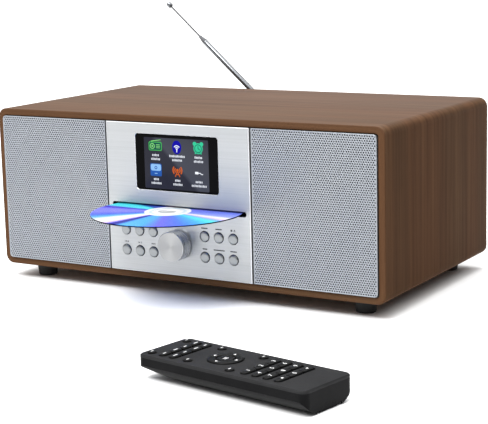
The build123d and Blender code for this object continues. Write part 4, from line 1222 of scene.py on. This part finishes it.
def camera():
    """The camera stands to the right of the cabinet, a little over its top, and looks down at it."""
    yaw, pitch, roll = math.radians(-30.992), math.radians(10.645), math.radians(-1.446)
    ahead = Vector((math.sin(yaw) * math.cos(pitch), math.cos(yaw) * math.cos(pitch), -math.sin(pitch)))
    level = Vector((math.cos(yaw), -math.sin(yaw), 0))
    upright = level.cross(ahead)
    right = math.cos(roll) * level + math.sin(roll) * upright
    up = -math.sin(roll) * level + math.cos(roll) * upright
    data = bpy.data.cameras.new("camera")
    data.sensor_width = 36.0
    data.lens = 108.61
    data.clip_end = 100.0
    view = linked("camera", data)
    turn = Matrix((right, up, -ahead)).transposed().to_4x4()
    view.matrix_world = Matrix.Translation(Vector((627.76, -1045.63, 280.74)) * MM) @ turn
    bpy.context.scene.camera = view


def floor():
    paper = Surface("floor_paper", (0.92, 0.92, 0.92), rough=0.8, Specular_IOR_Level=0.0)
    fibre = paper.grain(30)
    paper.colour(paper.ramp(fibre, [(0.3, (0.915, 0.915, 0.915)), (0.7, (0.925, 0.925, 0.925))]))
    mesh = bpy.data.meshes.new("floor")
    reach = 30.0
    corners = [(-reach, -reach, 0), (reach, -reach, 0), (reach, reach, 0), (-reach, reach, 0)]
    mesh.from_pydata(corners, [], [(0, 1, 2, 3)])
    mesh.materials.append(paper.material)
    plane = linked("floor", mesh)


def softbox(name, place, target, size, power):
    """A rectangular lamp that points from its place to its target, in metres and watts."""
    data = bpy.data.lights.new(name, "AREA")
    data.shape = "RECTANGLE"
    data.size, data.size_y = size
    data.energy = power
    lamp = linked(name, data)
    direction = Vector(target) - Vector(place)
    lamp.matrix_world = Matrix.Translation(place) @ direction.to_track_quat("-Z", "Y").to_matrix().to_4x4()


def lights():
    """White surroundings, dimmer on the cabinet's right, and soft boxes above and in front."""
    world = bpy.data.worlds.new("studio")
    world.use_nodes = True
    tree = world.node_tree
    background = tree.nodes["Background"]
    coords = tree.nodes.new("ShaderNodeTexCoord").outputs["Generated"]

    def lobe(direction, start, end, low, high):
        """A strength that eases from low to high as the view turns towards a direction."""
        facing = tree.nodes.new("ShaderNodeVectorMath")
        facing.operation = "DOT_PRODUCT"
        tree.links.new(coords, facing.inputs[0])
        facing.inputs[1].default_value = Vector(direction).normalized()
        spread = tree.nodes.new("ShaderNodeMapRange")
        spread.interpolation_type = "SMOOTHSTEP"
        for socket, value in zip(("From Min", "From Max", "To Min", "To Max"), (start, end, low, high)):
            spread.inputs[socket].default_value = value
        tree.links.new(facing.outputs["Value"], spread.inputs["Value"])
        return spread.outputs["Result"]

    def combined(operation, one, two):
        work = tree.nodes.new("ShaderNodeMath")
        work.operation = operation
        tree.links.new(one, work.inputs[0])
        tree.links.new(two, work.inputs[1])
        return work.outputs["Value"]

    round_about = lobe((1, 0.3, 0), -0.15, 0.4, 0.36, 0.02)
    overhead = lobe((0, 0, 1), 0.35, 0.95, 0.0, 2.6)
    behind = lobe((-0.52, 0.84, 0.2), 0.86, 0.99, 0.0, 0.2)
    strength = combined("ADD", combined("ADD", round_about, overhead), behind)
    tree.links.new(strength, background.inputs["Strength"])
    background.inputs["Color"].default_value = (*WHITE, 1.0)
    bpy.context.scene.world = world
    softbox("key", (-0.1, -1.6, 2.25), (0, 0, 0.05), (1.0, 1.0), 51)
    softbox("top", (0.1, 0.3, 1.9), (0, 0, 0.1), (1.2, 1.0), 7)
    bpy.context.scene.view_settings.view_transform = "Standard"


camera()
floor()
lights()
finish_nodes()
cabinet_sleeve()
foot_pads()
for name in ("left", "right"):
    grille(name)
screen()
knob()
button_caps()
legends()
bright_edges()
disc()
antenna()
handset_keys()
handset_legends()
handset_window()
socket_rings()
